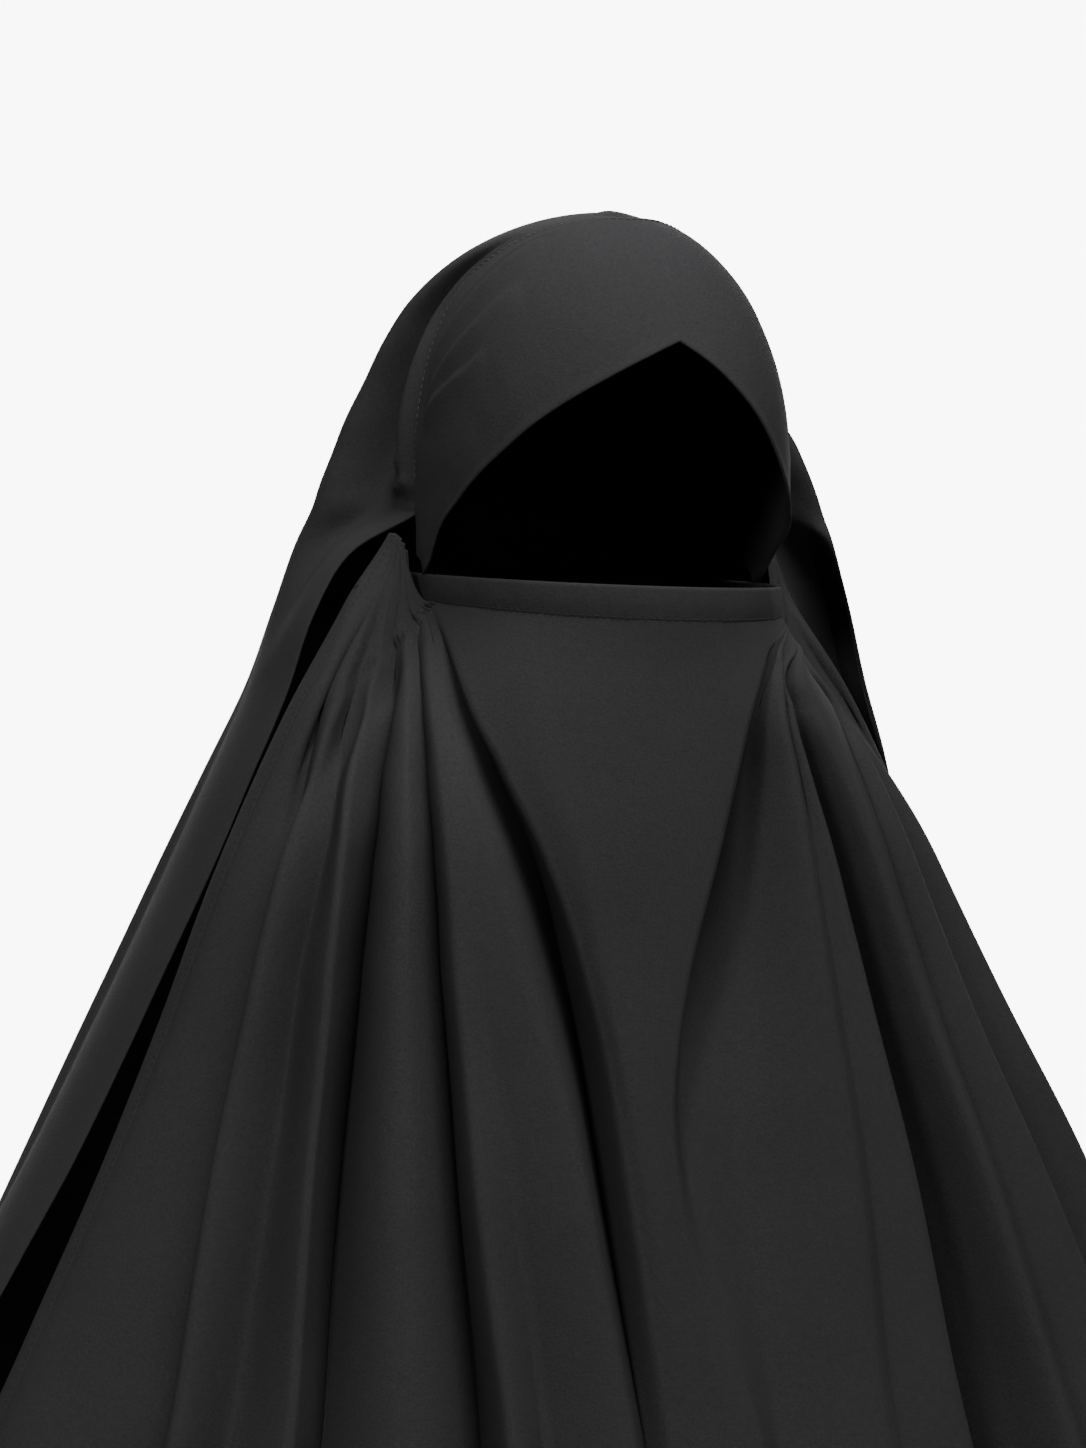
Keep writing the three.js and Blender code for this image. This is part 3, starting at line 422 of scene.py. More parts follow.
def panel_grid():
    """Places across, places down and depth of the panel's fine grid, each an array of rows by columns."""
    down = np.linspace(0, 1, PANEL_ROWS_DOWN + 1) ** PANEL_CROWDING
    edge = hem_start(down) - SEAM_GAP / (edge_rate(down) * hem_narrowing(down))
    places = [-edge]
    depths = [np.zeros_like(down)]
    sharp = [0.0]
    cells = [CELLS_TO_FIRST_LINE]
    for line in PANEL_LINES:
        places.append(read_rows(LEVELS, line["places"], down))
        depths.append(read_rows(LEVELS, line["sunk"], down))
        sharp.append(line["sharp"])
        cells.append(line["cells"])
    places.append(edge)
    depths.append(np.zeros_like(down))
    sharp.append(0.0)
    across = []
    sunk = []
    for i, count in enumerate(cells):
        last = i == len(cells) - 1
        for k in range(count + 1 if last else count):
            s = k / count
            eased = (s * s * (3 - 2 * s) + sharp[i] * (s ** 3 - 2 * s * s + s)
                     + sharp[i + 1] * (s ** 3 - s * s))
            across.append(places[i] + (places[i + 1] - places[i]) * s)
            sunk.append(depths[i] + (depths[i + 1] - depths[i]) * eased)
    across = np.stack(across, axis=1)
    sunk = np.stack(sunk, axis=1)
    return across, np.repeat(down[:, None], across.shape[1], axis=1), sunk


def veil_section(row, side):
    """One ring of the veil: half width, front edge, roll, reach behind and level."""
    if row <= CROWN_ROWS:
        turn = np.array(row * TURN_STEP, float)
        turns = np.arange(CROWN_ROWS + 1) * TURN_STEP
        seam = read_rows(BROW_TURN, BROW_SEAM, turn) - gap_angle(turn, SEAM_GAP)
        edge = on_head(side * turn, seam)
        edge[0] = abs(edge[0])
        half = float(read_rows(turns, RING_RIGHT if side < 0 else RING_LEFT, turn)) * HEAD_HALF
        return {
            "side": max(half, edge[0] / math.sin(VEIL_SIDE_TURN)),
            "edge": edge,
            "roll": max(ROLL["place"], edge[1] + ROLL["clear"]),
            "forward": float(smooth((turn - ROLL["start_turn"]) / ROLL["start_width"])),
            "back": float(read_rows(turns, RING_BACK, turn)) * HEAD_DEPTH / 2,
            "low": -float(read_rows(turns, RING_LOW, turn)) * CROWN_HEIGHT,
        }
    share = (row - CROWN_ROWS - 1) / (VEIL_ROWS_DOWN - CROWN_ROWS - 1)
    fall = VEIL_FALL[0] + (1 - VEIL_FALL[0]) * share ** VEIL_CROWDING
    edges = VEIL_RIGHT_EDGE if side < 0 else VEIL_LEFT_EDGE
    sides = VEIL_RIGHT if side < 0 else VEIL_LEFT
    edge_x = HEAD_HALF + (VEIL_HEM_HALF - HEAD_HALF) * float(read_rows(VEIL_FALL, edges, fall))
    edge_drop = CASING_DROP + (FRONT_HEM_DROP - CASING_DROP) * fall
    behind = float(read_rows(VEIL_FALL, VEIL_BACK, fall))
    return {
        "side": HEAD_HALF + (VEIL_HEM_HALF - HEAD_HALF) * float(read_rows(VEIL_FALL, sides, fall)),
        "edge": np.array([edge_x, GATHER_SETBACK + EDGE_SETBACK, -edge_drop]),
        "roll": ROLL["place"],
        "forward": float(1 - smooth((fall - ROLL["end_fall"]) / ROLL["end_width"])),
        "back": HEAD_DEPTH / 2 + (VEIL_HEM_BACK - HEAD_DEPTH / 2) * behind,
        "low": -(CASING_DROP + (BACK_HEM_DROP - CASING_DROP) * fall),
    }


def veil_ring(around, row):
    """Points of the smooth veil on one ring, around from -1 at the right front edge to 1 at the left one."""
    points = np.zeros((len(around), 3))
    for side, tuck in ((-1, RIGHT_TUCK), (1, LEFT_TUCK)):
        here = around < 0 if side < 0 else around >= 0
        s = veil_section(row, side)
        size = np.abs(around[here])
        turn = size * VEIL_SIDE_TURN
        common = s["edge"][1] + (s["back"] - s["edge"][1]) * ROLL_BACK
        middle = common if side < 0 else common + min(s["roll"] - common, 0) * s["forward"]
        depth = s["back"] - middle
        near = smooth((size - tuck) / (1 - tuck))
        edge_x = s["side"] * math.sin(VEIL_SIDE_TURN)
        edge_y = middle + depth * math.cos(VEIL_SIDE_TURN)
        points[here, 0] = side * (s["side"] * np.sin(turn) + (s["edge"][0] - edge_x) * near)
        points[here, 1] = middle + depth * np.cos(turn) + (s["edge"][1] - edge_y) * near
        points[here, 2] = s["low"] + (s["edge"][2] - s["low"]) * smooth(size)
    return points


def between_rows(rows, places):
    """Points at broken row numbers, on smooth curves through the rows."""
    count = len(rows)
    low = np.clip(np.floor(places).astype(int), 0, count - 2)
    s = (places - low)[:, None, None]
    before = rows[np.maximum(low - 1, 0)]
    first = rows[low]
    second = rows[low + 1]
    after = rows[np.minimum(low + 2, count - 1)]
    return (first * (2 * s ** 3 - 3 * s ** 2 + 1) + second * (3 * s ** 2 - 2 * s ** 3)
            + (second - before) / 2 * (s ** 3 - 2 * s ** 2 + s) + (after - first) / 2 * (s ** 3 - s ** 2))


def grid_normals(grid):
    along = np.gradient(grid, axis=1)
    below = np.gradient(grid, axis=0)
    return unit(np.cross(below, along))


def cloth_lengths(grid):
    """Lengths in metres along the cloth at each grid point: across from the middle, down from the top."""
    steps = np.linalg.norm(np.diff(grid, axis=1), axis=2)
    across = np.concatenate([np.zeros((grid.shape[0], 1)), np.cumsum(steps, axis=1)], axis=1)
    across -= across[:, [grid.shape[1] // 2]]
    steps = np.linalg.norm(np.diff(grid, axis=0), axis=2)
    down = np.concatenate([np.zeros((1, grid.shape[1])), np.cumsum(steps, axis=0)], axis=0)
    return np.stack([across, down], axis=-1) / 1000


def add_mesh(name, points, faces, uv=None):
    """A smooth-shaded object from points in millimetres, with its cloth lengths as UV."""
    used, places = np.unique(np.concatenate([np.asarray(f) for f in faces]), return_inverse=True)
    parts = []
    start = 0
    for f in faces:
        parts.append(places[start:start + len(f)].tolist())
        start += len(f)
    mesh = bpy.data.meshes.new(name)
    mesh.from_pydata((points[used] / 1000).tolist(), [], parts)
    mesh.polygons.foreach_set("use_smooth", np.ones(len(mesh.polygons), dtype=bool))
    if uv is not None:
        layer = mesh.uv_layers.new(name="cloth")
        index = np.empty(len(mesh.loops), dtype=np.int32)
        mesh.loops.foreach_get("vertex_index", index)
        layer.data.foreach_set("uv", uv[used][index].astype(np.float32).ravel())
    mesh.update()
    made = bpy.data.objects.new(name, mesh)
    bpy.context.scene.collection.objects.link(made)
    return made


# Where the rows of points of a rounded rim lie, as shares of the half turn from the outer to the inner face
RIM_SHARES = (0.25, 0.5, 0.75)


def sheet_object(name, grid, wall, lift, normal=None, pole=False):
    """A closed sheet of cloth with a rounded rim. lift is the share of the wall outside the grid."""
    rows, columns = grid.shape[:2]
    along = unit(np.gradient(grid, axis=1))
    below = unit(np.gradient(grid, axis=0))
    if normal is None:
        normal = grid_normals(grid)
    lengths = cloth_lengths(grid).reshape(-1, 2)
    outer = (grid + normal * wall * lift).reshape(-1, 3)
    inner = (grid + normal * wall * (lift - 1)).reshape(-1, 3)
    ids = np.arange(rows * columns).reshape(rows, columns)
    if pole:
        ids[0, :] = ids[0, 0]
    a = ids[:-1, :-1].ravel()
    b = ids[:-1, 1:].ravel()
    c = ids[1:, 1:].ravel()
    d = ids[1:, :-1].ravel()
    total = rows * columns
    faces = []
    for p, q, r, s in zip(a.tolist(), b.tolist(), c.tolist(), d.tolist()):
        if p == q:
            faces.append([p, s, r])
            faces.append([p + total, r + total, s + total])
        else:
            faces.append([p, s, r, q])
            faces.append([p + total, q + total, r + total, s + total])
    out = np.zeros_like(grid)
    out[-1] += below[-1]
    out[:, 0] -= along[:, 0]
    out[:, -1] += along[:, -1]
    if pole:
        out[0, 0] = -unit((grid[1] - grid[0]).mean(axis=0))
        loop = [ids[0, 0]] + ids[1:, -1].tolist()
    else:
        out[0] -= below[0]
        loop = ids[0].tolist() + ids[1:, -1].tolist()
    loop += ids[-1, -2::-1].tolist()
    loop += ids[-2:0:-1, 0].tolist()
    loop = np.array(loop)
    out = unit(out.reshape(-1, 3)[loop])
    rim_normal = normal.reshape(-1, 3)[loop]
    centre = (outer[loop] + inner[loop]) / 2
    layers = [loop]
    points = [outer, inner]
    uvs = [lengths, lengths]
    size = 2 * total
    for share in RIM_SHARES:
        t = share * math.pi
        points.append(centre + out * (wall / 2 * math.sin(t)) + rim_normal * (wall / 2 * math.cos(t)))
        uvs.append(lengths[loop])
        layers.append(size + np.arange(len(loop)))
        size += len(loop)
    layers.append(loop + total)
    for upper, lower in zip(layers[:-1], layers[1:]):
        u = upper.tolist()
        w = lower.tolist()
        for k in range(len(loop)):
            n = (k + 1) % len(loop)
            faces.append([u[k], u[n], w[n], w[k]])
    return add_mesh(name, np.concatenate(points), faces, np.concatenate(uvs))


def at_length(points, lengths, wanted):
    return np.stack([np.interp(wanted, lengths, points[:, k]) for k in range(3)], axis=-1)


# Rings of one stitch: share of its length, and thickness and height over the cloth in shares of its radius.
# A path's direction is read over STITCH_LOOK_AHEAD millimetres to both sides.
STITCH_RINGS = ((0, 0.3, -0.8), (0.18, 0.9, 0.15), (0.5, 1, 0.35), (0.82, 0.9, 0.15), (1, 0.3, -0.8))
STITCH_SIDES = 6
STITCH_LOOK_AHEAD = 0.1


def stitch_object(name, path, outward, length, gap, radius):
    """A row of sewn stitches along a path: short threads that dive into the cloth at both ends."""
    steps = np.linalg.norm(np.diff(path, axis=0), axis=1)
    lengths = np.concatenate([[0], np.cumsum(steps)])
    points = []
    faces = []
    sides = STITCH_SIDES
    last_ring = len(STITCH_RINGS) - 1
    for start in np.arange(gap, lengths[-1] - length, length + gap):
        base = len(points)
        for share, size, height in STITCH_RINGS:
            place = start + share * length
            here = at_length(path, lengths, place)
            ahead = at_length(path, lengths, place + STITCH_LOOK_AHEAD)
            back = at_length(path, lengths, place - STITCH_LOOK_AHEAD)
            axis = unit(ahead - back)
            out = at_length(outward, lengths, place)
            out = unit(out - axis * np.dot(out, axis))
            side = np.cross(axis, out)
            for k in range(sides):
                t = 2 * math.pi * k / sides
                round_it = side * math.cos(t) + out * math.sin(t)
                points.append(here + out * radius * height + radius * size * round_it)
        for ring in range(last_ring):
            for k in range(sides):
                n = (k + 1) % sides
                faces.append([base + ring * sides + k, base + (ring + 1) * sides + k,
                              base + (ring + 1) * sides + n, base + ring * sides + n])
        faces.append([base + k for k in range(sides)])
        faces.append([base + last_ring * sides + k for k in range(sides - 1, -1, -1)])
    return add_mesh(name, np.array(points), faces)


def line_distance(x, y, line):
    """Signed distance to a broken line of points, and the share of the way along it. Above 0 is its left."""
    points = np.asarray(line, float)
    steps = np.linalg.norm(np.diff(points, axis=0), axis=1)
    lengths = np.concatenate([[0], np.cumsum(steps)])
    nearest = np.full(x.shape, 1e9)
    signed = np.zeros(x.shape)
    share = np.zeros(x.shape)
    for i, step in enumerate(steps):
        direction = (points[i + 1] - points[i]) / step
        dx = x - points[i, 0]
        dy = y - points[i, 1]
        t = np.clip(dx * direction[0] + dy * direction[1], 0, step)
        away = np.hypot(dx - t * direction[0], dy - t * direction[1])
        turn = direction[0] * dy - direction[1] * dx
        closer = away < nearest
        nearest = np.where(closer, away, nearest)
        signed = np.where(closer, np.where(turn >= 0, away, -away), signed)
        share = np.where(closer, (lengths[i] + t) / lengths[-1], share)
    return signed, share


# Camera
turned = Vector((math.sin(CAMERA_TURN), -math.cos(CAMERA_TURN), 0))
sideways = Vector((math.cos(CAMERA_TURN), math.sin(CAMERA_TURN), 0))
camera_data = bpy.data.cameras.new("camera")
camera = bpy.data.objects.new("camera", camera_data)
bpy.context.scene.collection.objects.link(camera)
camera.location = turned * CAMERA_DISTANCE + Vector((0, 0, CAMERA_HEIGHT))
aim = sideways * AIM_SIDE + Vector((0, 0, AIM_HEIGHT))
camera.rotation_mode = "QUATERNION"
camera.rotation_quaternion = (aim - camera.location).to_track_quat("-Z", "Y")
camera_data.lens = LENS_MM
camera_data.sensor_width = SENSOR_MM
camera_data.clip_start = 0.05
bpy.context.scene.camera = camera


CHARCOAL = (0.0115, 0.0115, 0.012)
CLOTH_ROUGHNESS = 0.95
CLOTH_SPECULAR = 0.025
TONE_SCALE = 14
TONE_RANGE = (0.86, 1.14)
GRAIN_SCALE = 900
FLECK_RANGE = (0.62, 1.38)
GRAIN_BUMP = {"Strength": 0.6, "Distance": 0.0003}
WEAVE_SCALE = 420
WEAVE_DISTORTION = 0.6
WEAVE_DETAIL_SCALE = 80
WEAVE_BUMP = {"Strength": 0.25, "Distance": 0.00012}
# The thread of the casing, hems and tack is darker than the cloth: painted shade for the small shadows along
# the stitches.
THREAD_PAINTED_SHADE = (0.006, 0.006, 0.0065)
# The crown seam's thread is lighter than the other thread: a painted highlight of the top light on its
# stitches.
CROWN_THREAD_PAINTED_HIGHLIGHT = (0.019, 0.019, 0.02)
THREAD_ROUGHNESS = 0.8
THREAD_SPECULAR = 0.12
TWIST_SCALE = 1500
TWIST_RANGE = (0.7, 1.3)


def new_material(name, roughness, specular):
    material = bpy.data.materials.new(name)
    material.use_nodes = True
    shader = material.node_tree.nodes["Principled BSDF"]
    shader.inputs["Roughness"].default_value = roughness
    shader.inputs["Specular IOR Level"].default_value = specular
    return material, shader


def noise(tree, where, scale, detail=None):
    made = tree.nodes.new("ShaderNodeTexNoise")
    made.inputs["Scale"].default_value = scale
    if detail is not None:
        made.inputs["Detail"].default_value = detail
    tree.links.new(where.outputs["Object"], made.inputs["Vector"])
    return made


def in_range(tree, value, limits):
    made = tree.nodes.new("ShaderNodeMapRange")
    made.inputs["To Min"].default_value = limits[0]
    made.inputs["To Max"].default_value = limits[1]
    tree.links.new(value, made.inputs["Value"])
    return made.outputs["Result"]


def two_values(tree, operation, first, second):
    made = tree.nodes.new("ShaderNodeMath")
    made.operation = operation
    tree.links.new(first, made.inputs[0])
    tree.links.new(second, made.inputs[1])
    return made.outputs["Value"]


def tint(tree, base, share, shader):
    """The base colour, made lighter and darker from place to place."""
    made = tree.nodes.new("ShaderNodeVectorMath")
    made.operation = "SCALE"
    made.inputs[0].default_value = base
    tree.links.new(share, made.inputs["Scale"])
    tree.links.new(made.outputs["Vector"], shader.inputs["Base Color"])


def yarns(tree, place, direction):
    """The yarns of the weave that lie one behind the other along the cloth's X or Y."""
    made = tree.nodes.new("ShaderNodeTexWave")
    made.bands_direction = direction
    made.inputs["Scale"].default_value = WEAVE_SCALE
    made.inputs["Distortion"].default_value = WEAVE_DISTORTION
    made.inputs["Detail Scale"].default_value = WEAVE_DETAIL_SCALE
    tree.links.new(place.outputs["UV"], made.inputs["Vector"])
    return made.outputs["Fac"]


def bump(tree, height, sizes):
    made = tree.nodes.new("ShaderNodeBump")
    for field, size in sizes.items():
        made.inputs[field].default_value = size
    tree.links.new(height, made.inputs["Height"])
    return made


def cloth_material(name):
    """Dark crepe: a fine weave that follows the cloth, a crepe grain, and a faint change of tone."""
    material, shader = new_material(name, CLOTH_ROUGHNESS, CLOTH_SPECULAR)
    tree = material.node_tree
    place = tree.nodes.new("ShaderNodeUVMap")
    place.uv_map = "cloth"
    where = tree.nodes.new("ShaderNodeTexCoord")
    tone = noise(tree, where, TONE_SCALE, 4).outputs["Fac"]
    grain = noise(tree, where, GRAIN_SCALE, 3).outputs["Fac"]
    share = two_values(tree, "MULTIPLY", in_range(tree, tone, TONE_RANGE), in_range(tree, grain, FLECK_RANGE))
    tint(tree, CHARCOAL, share, shader)
    weave = two_values(tree, "ADD", yarns(tree, place, "X"), yarns(tree, place, "Y"))
    weave_bump = bump(tree, weave, WEAVE_BUMP)
    grain_bump = bump(tree, grain, GRAIN_BUMP)
    tree.links.new(weave_bump.outputs["Normal"], grain_bump.inputs["Normal"])
    tree.links.new(grain_bump.outputs["Normal"], shader.inputs["Normal"])
    return material


def thread_material(name, base):
    """Sewing thread with a faint twist."""
    material, shader = new_material(name, THREAD_ROUGHNESS, THREAD_SPECULAR)
    tree = material.node_tree
    where = tree.nodes.new("ShaderNodeTexCoord")
    twist = noise(tree, where, TWIST_SCALE).outputs["Fac"]
    tint(tree, base, in_range(tree, twist, TWIST_RANGE), shader)
    return material


veil_cloth = cloth_material("veil_cloth")
band_cloth = cloth_material("band_cloth")
casing_cloth = cloth_material("casing_cloth")
panel_cloth = cloth_material("panel_cloth")
hem_cloth = cloth_material("hem_cloth")
tie_cloth = cloth_material("tie_cloth")
# This thread is darker than the cloth, as painted shade along its stitches.
thread = thread_material("thread", THREAD_PAINTED_SHADE)
# A lighter copy of the thread, as a painted highlight on the crown seam's stitches.
crown_thread_painted_highlight = thread_material("crown_thread_painted_highlight", CROWN_THREAD_PAINTED_HIGHLIGHT)


def dress(piece, material, node=None):
    piece.data.materials.append(material)
    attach(piece, "root")
    if node:
        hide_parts(node)
    return piece


# Brow band, stretched over the forehead, with soft pleats that run to the wearer's right temple.
# A pleat's line is a row of turns and angles in degrees. Its height is in millimetres, its width in degrees.
BAND_ACROSS = 260
BAND_DOWN = 90
BAND_PLEATS = [
    {"line": [(-10, 15.5), (-13.8, 13.6), (-17.5, 11.4), (-22.2, 9.1), (-27, 6.4), (-32, 4.4), (-38, 2)],
     "height": 1.2, "width": 1.4},
    {"line": [(-13.2, 16.5), (-15.5, 15.6), (-18.8, 14.8), (-23.2, 13.4), (-28, 10.8), (-33, 7.4),
              (-41, 3.4)],
     "height": 2.4, "width": 2.2},
    {"line": [(-20.5, 22.6), (-23.8, 21.8), (-29, 20.1), (-34, 16.8), (-39, 12), (-46, 4.6)],
     "height": 2.6, "width": 2.6},
    {"line": [(-31, 28), (-36, 25), (-41, 19), (-49, 6)], "height": 1.8, "width": 2.4},
]
# A pleat is wide and gentle on its brow side and narrow and steep on its seam side, in shares of its width
PLEAT_BROW_SIDE = 1.8
PLEAT_BROW_POWER = 1.5
PLEAT_SEAM_SIDE = 0.5
PLEAT_END_POWER = 0.5
PLEAT_CLEAR_OF_SEAM = 3
# The faint crease down the middle leans to the wearer's left on its way up, by these degrees
CENTRE_CREASE = {"height": 0.35, "lean": 5, "width": 0.7, "fade": 3}
BAND_EDGE_ROLL = {"height": 0.5, "width": 1.4}
# Slow unevenness of the stretched cloth: height, size of a patch in degrees, and place and seed of the noise
BAND_WAVES = {"height": 0.25, "turn": 5, "angle": 14, "turn_start": 9, "angle_start": 5, "seed": 3}
columns = np.linspace(-BROW_TURN[-1], BROW_TURN[-1], BAND_ACROSS + 1)
turn, down = np.meshgrid(columns, np.linspace(0, 1, BAND_DOWN + 1))
back, edge = brow_angles(turn)
angle = back + (edge - back) * down
band_grid = on_head(turn, angle)
band_normal = out_of_head(band_grid)
relief = np.zeros_like(turn)
for pleat in BAND_PLEATS:
    signed, share = line_distance(turn, angle, pleat["line"])
    ends = np.sin(np.pi * np.clip(share, 0, 1)) ** PLEAT_END_POWER
    fade = ends * smooth((angle - back) / PLEAT_CLEAR_OF_SEAM)
    gentle = np.exp(-(np.maximum(-signed, 0) / (PLEAT_BROW_SIDE * pleat["width"])) ** PLEAT_BROW_POWER)
    steep = np.exp(-(np.maximum(signed, 0) / (PLEAT_SEAM_SIDE * pleat["width"])) ** 2)
    relief += pleat["height"] * fade * np.where(signed < 0, gentle, steep)
crease_line = CENTRE_CREASE["lean"] * (1 - down)
crease = np.exp(-((turn - crease_line) / CENTRE_CREASE["width"]) ** 2)
centre_crease = CENTRE_CREASE["height"] * crease * smooth(CENTRE_CREASE["fade"] * down)
roll = np.exp(-((1 - down) * (edge - back) / BAND_EDGE_ROLL["width"]) ** 2)
edge_roll = centre_crease + BAND_EDGE_ROLL["height"] * roll
waves = lattice(
    turn / BAND_WAVES["turn"] + BAND_WAVES["turn_start"],
    angle / BAND_WAVES["angle"] + BAND_WAVES["angle_start"],
    BAND_WAVES["seed"])
relief += edge_roll + BAND_WAVES["height"] * waves
band_grid = band_grid + band_normal * relief[..., None]
band = sheet_object("brow_band_cloth", band_grid, CLOTH_WALL, 1, band_normal)
dress(band, band_cloth, "brow_band")

# Veil. Its columns stand closer together towards both front edges, by EDGE_CROWDING.
VEIL_ACROSS = 230
VEIL_FINE_ROWS = 180
EDGE_CROWDING = 0.35
# Small puckers in the veil beside the wearer's right temple: place around, ring, and height in shares of
# FOLD_DEPTH. PUCKER_WIDTH is a share of the way round, and PUCKER_ROWS a number of rings.
TEMPLE_PUCKERS = [(-0.905, 8.2, 0.05), (-0.925, 8.65, -0.05), (-0.9, 9.1, 0.05), (-0.93, 9.5, -0.03),
                  (-0.96, 8.9, 0.04)]
PUCKER_WIDTH = 0.022
PUCKER_ROWS = 0.24
# The wall of the veil follows the head along the seam, down to SEAM_END, and round the crown's top
SEAM_WIDTH = 0.12
SEAM_END = 0.36
TOP_END = 0.05
u = np.linspace(1, -1, VEIL_ACROSS + 1)
around = -u * (1 + EDGE_CROWDING - EDGE_CROWDING * u * u)
rings = np.stack([veil_ring(around, row) for row in range(VEIL_ROWS_DOWN + 1)])
row_places = np.linspace(0, VEIL_ROWS_DOWN, VEIL_FINE_ROWS + 1)
veil_grid = between_rows(rings, row_places)
around_grid, down_grid = np.meshgrid(around, row_places / VEIL_ROWS_DOWN)
along = np.gradient(veil_grid, axis=1)
outward = unit(np.stack([-along[..., 1], along[..., 0], np.zeros_like(around_grid)], axis=-1))
out = np.zeros_like(around_grid)
for fold in VEIL_FOLDS:
    share = np.clip((down_grid - fold["start"]) / (fold["end"] - fold["start"]), 0, 1)
    beside = np.exp(-((around_grid - fold["place"]) / fold["width"]) ** 2)
    out += fold["depth"] * np.sin(np.pi * share) * beside
flute_down = smooth((down_grid - FLUTE_START) / FLUTE_GROWTH)
flute = flute_down * (1 - smooth((np.abs(around_grid) - FLUTE_REACH) / FLUTE_FADE))
out += FLUTE_DEPTH * flute * np.cos(FLUTE_COUNT * np.pi * around_grid)
for place, row, height in TEMPLE_PUCKERS:
    sideways_off = (around_grid - place) / PUCKER_WIDTH
    down_off = (down_grid * VEIL_ROWS_DOWN - row) / PUCKER_ROWS
    out += height * np.exp(-(sideways_off ** 2 + down_off ** 2))
veil_grid = veil_grid + outward * (out * FOLD_DEPTH)[..., None]
veil_normal = grid_normals(veil_grid)
near_seam = smooth(1 - (1 - np.abs(around_grid)) / SEAM_WIDTH) * (down_grid <= SEAM_END)
near_top = smooth(1 - down_grid / TOP_END)
follow = np.maximum(near_seam, near_top)[..., None]
veil_normal = unit(veil_normal * (1 - follow) + out_of_head(veil_grid) * follow)
veil_normal[0] = out_of_head(veil_grid[0])
veil = sheet_object("veil_sheet", veil_grid, CLOTH_WALL, 1, veil_normal, pole=True)
dress(veil, veil_cloth, "veil")

# Nose casing, slightly puffed between its folded top edge and its stitch line, with small waves
CASING_ACROSS = 440
CASING_DOWN = 14
CASING_PUFF = 0.5
CASING_WAVES = {"height": 0.15, "across": 30, "down": 1.2, "seed": 8}
across, down = np.meshgrid(np.linspace(-1, 1, CASING_ACROSS + 1), np.linspace(0, 1, CASING_DOWN + 1))
casing_grid = casing_point(across, down)
casing_normal = grid_normals(casing_grid)
waves = lattice(across * CASING_WAVES["across"], down * CASING_WAVES["down"], CASING_WAVES["seed"])
puff = CASING_PUFF * np.sin(np.pi * np.clip(down, 0, 1)) + CASING_WAVES["height"] * waves
casing_grid = casing_grid + casing_normal * puff[..., None]
casing = sheet_object("nose_casing_cloth", casing_grid, HEM_WALL, CLOTH_WALL / HEM_WALL, casing_normal)
dress(casing, casing_cloth, "nose_casing")

# Front panel. At its top row the wall points level outwards, as the casing's does.
across, down, sunk = panel_grid()
panel_surface = panel_point(across, down, -sunk * FOLD_DEPTH)
panel_normal = grid_normals(panel_surface)
level = panel_normal[0].copy()
level[:, 2] = 0
panel_normal[0] = unit(level)
panel = sheet_object("front_panel_cloth", panel_surface, CLOTH_WALL, 1, panel_normal)
dress(panel, panel_cloth, "front_panel")

# Hem strips, puffed a little over their width
HEM_ACROSS = 6
HEM_DOWN = 220
HEM_PUFF = 0.4
hems = {}
for side, name in ((-1, "right"), (1, "left")):
    rows = np.linspace(0, 1, HEM_DOWN + 1) ** PANEL_CROWDING
    share, down = np.meshgrid(np.linspace(0, 1, HEM_ACROSS + 1), rows)
    start = hem_start(down)
    place = start + (1 - start) * (share if side > 0 else 1 - share)
    grid = panel_point(side * place, down, HEM_PUFF * np.sin(np.pi * share))
    normal = grid_normals(grid)
    strip = sheet_object("panel_hem_" + name + "_cloth", grid, HEM_WALL, CLOTH_WALL / HEM_WALL, normal)
    dress(strip, hem_cloth, "panel_hem_" + name)
    hems[name] = (strip, grid, normal)

# Head tie, from one end of the casing round the back of the head to the other
TIE_ACROSS = 120
TIE_DOWN = 6
TIE_CLEARANCE_DEGREES = 0.6
across, down = np.meshgrid(np.linspace(-1, 1, TIE_ACROSS + 1), np.linspace(0, 1, TIE_DOWN + 1))
start = math.radians(CASING_SHARE * 90 + TIE_CLEARANCE_DEGREES)
angle = math.pi + across * (math.pi - start)
behind = (angle > math.pi / 2) & (angle < 1.5 * math.pi)
depth = np.where(behind, HEAD_DEPTH / 2 - GATHER_SETBACK, CASING_DEPTH)
x = CASING_HALF * np.sin(angle)
tie_grid = np.stack([x, GATHER_SETBACK - depth * np.cos(angle), -casing_drop(x) - down * TIE_HEIGHT], axis=-1)
tie = sheet_object("head_tie_cloth", tie_grid, TIE_WALL, 0.5)
dress(tie, tie_cloth, "head_tie")

# Stitches along the crown seam, the casing and both hem strips: length, gap and thread radius in millimetres
SEAM_STITCH = (2.4, 0.7, 0.26)
CASING_STITCH = (2.4, 0.8, 0.26)
HEM_STITCH = (2.4, 0.8, 0.22)
TACK_STITCH = (1.1, 0.35, 0.3)
SEAM_STITCH_TURN = 62
SEAM_STITCH_POINTS = 400
SEAM_STITCH_SETBACK = 1.2
HEM_STITCH_FIRST_ROW = 4
turns = np.linspace(-SEAM_STITCH_TURN, SEAM_STITCH_TURN, SEAM_STITCH_POINTS)
seam_angles = read_rows(BROW_TURN, BROW_SEAM, np.abs(turns)) + SEAM_STITCH_SETBACK
seam_path = on_head(turns, seam_angles)
seam_out = out_of_head(seam_path)
seam_path = seam_path + seam_out * CLOTH_WALL
crown_stitches = stitch_object("crown_seam_stitches", seam_path, seam_out, *SEAM_STITCH)
dress(crown_stitches, crown_thread_painted_highlight)
casing_path = casing_grid[-2] + casing_normal[-2] * CLOTH_WALL
casing_stitches = stitch_object("casing_stitches", casing_path, casing_normal[-2], *CASING_STITCH)
dress(casing_stitches, thread)
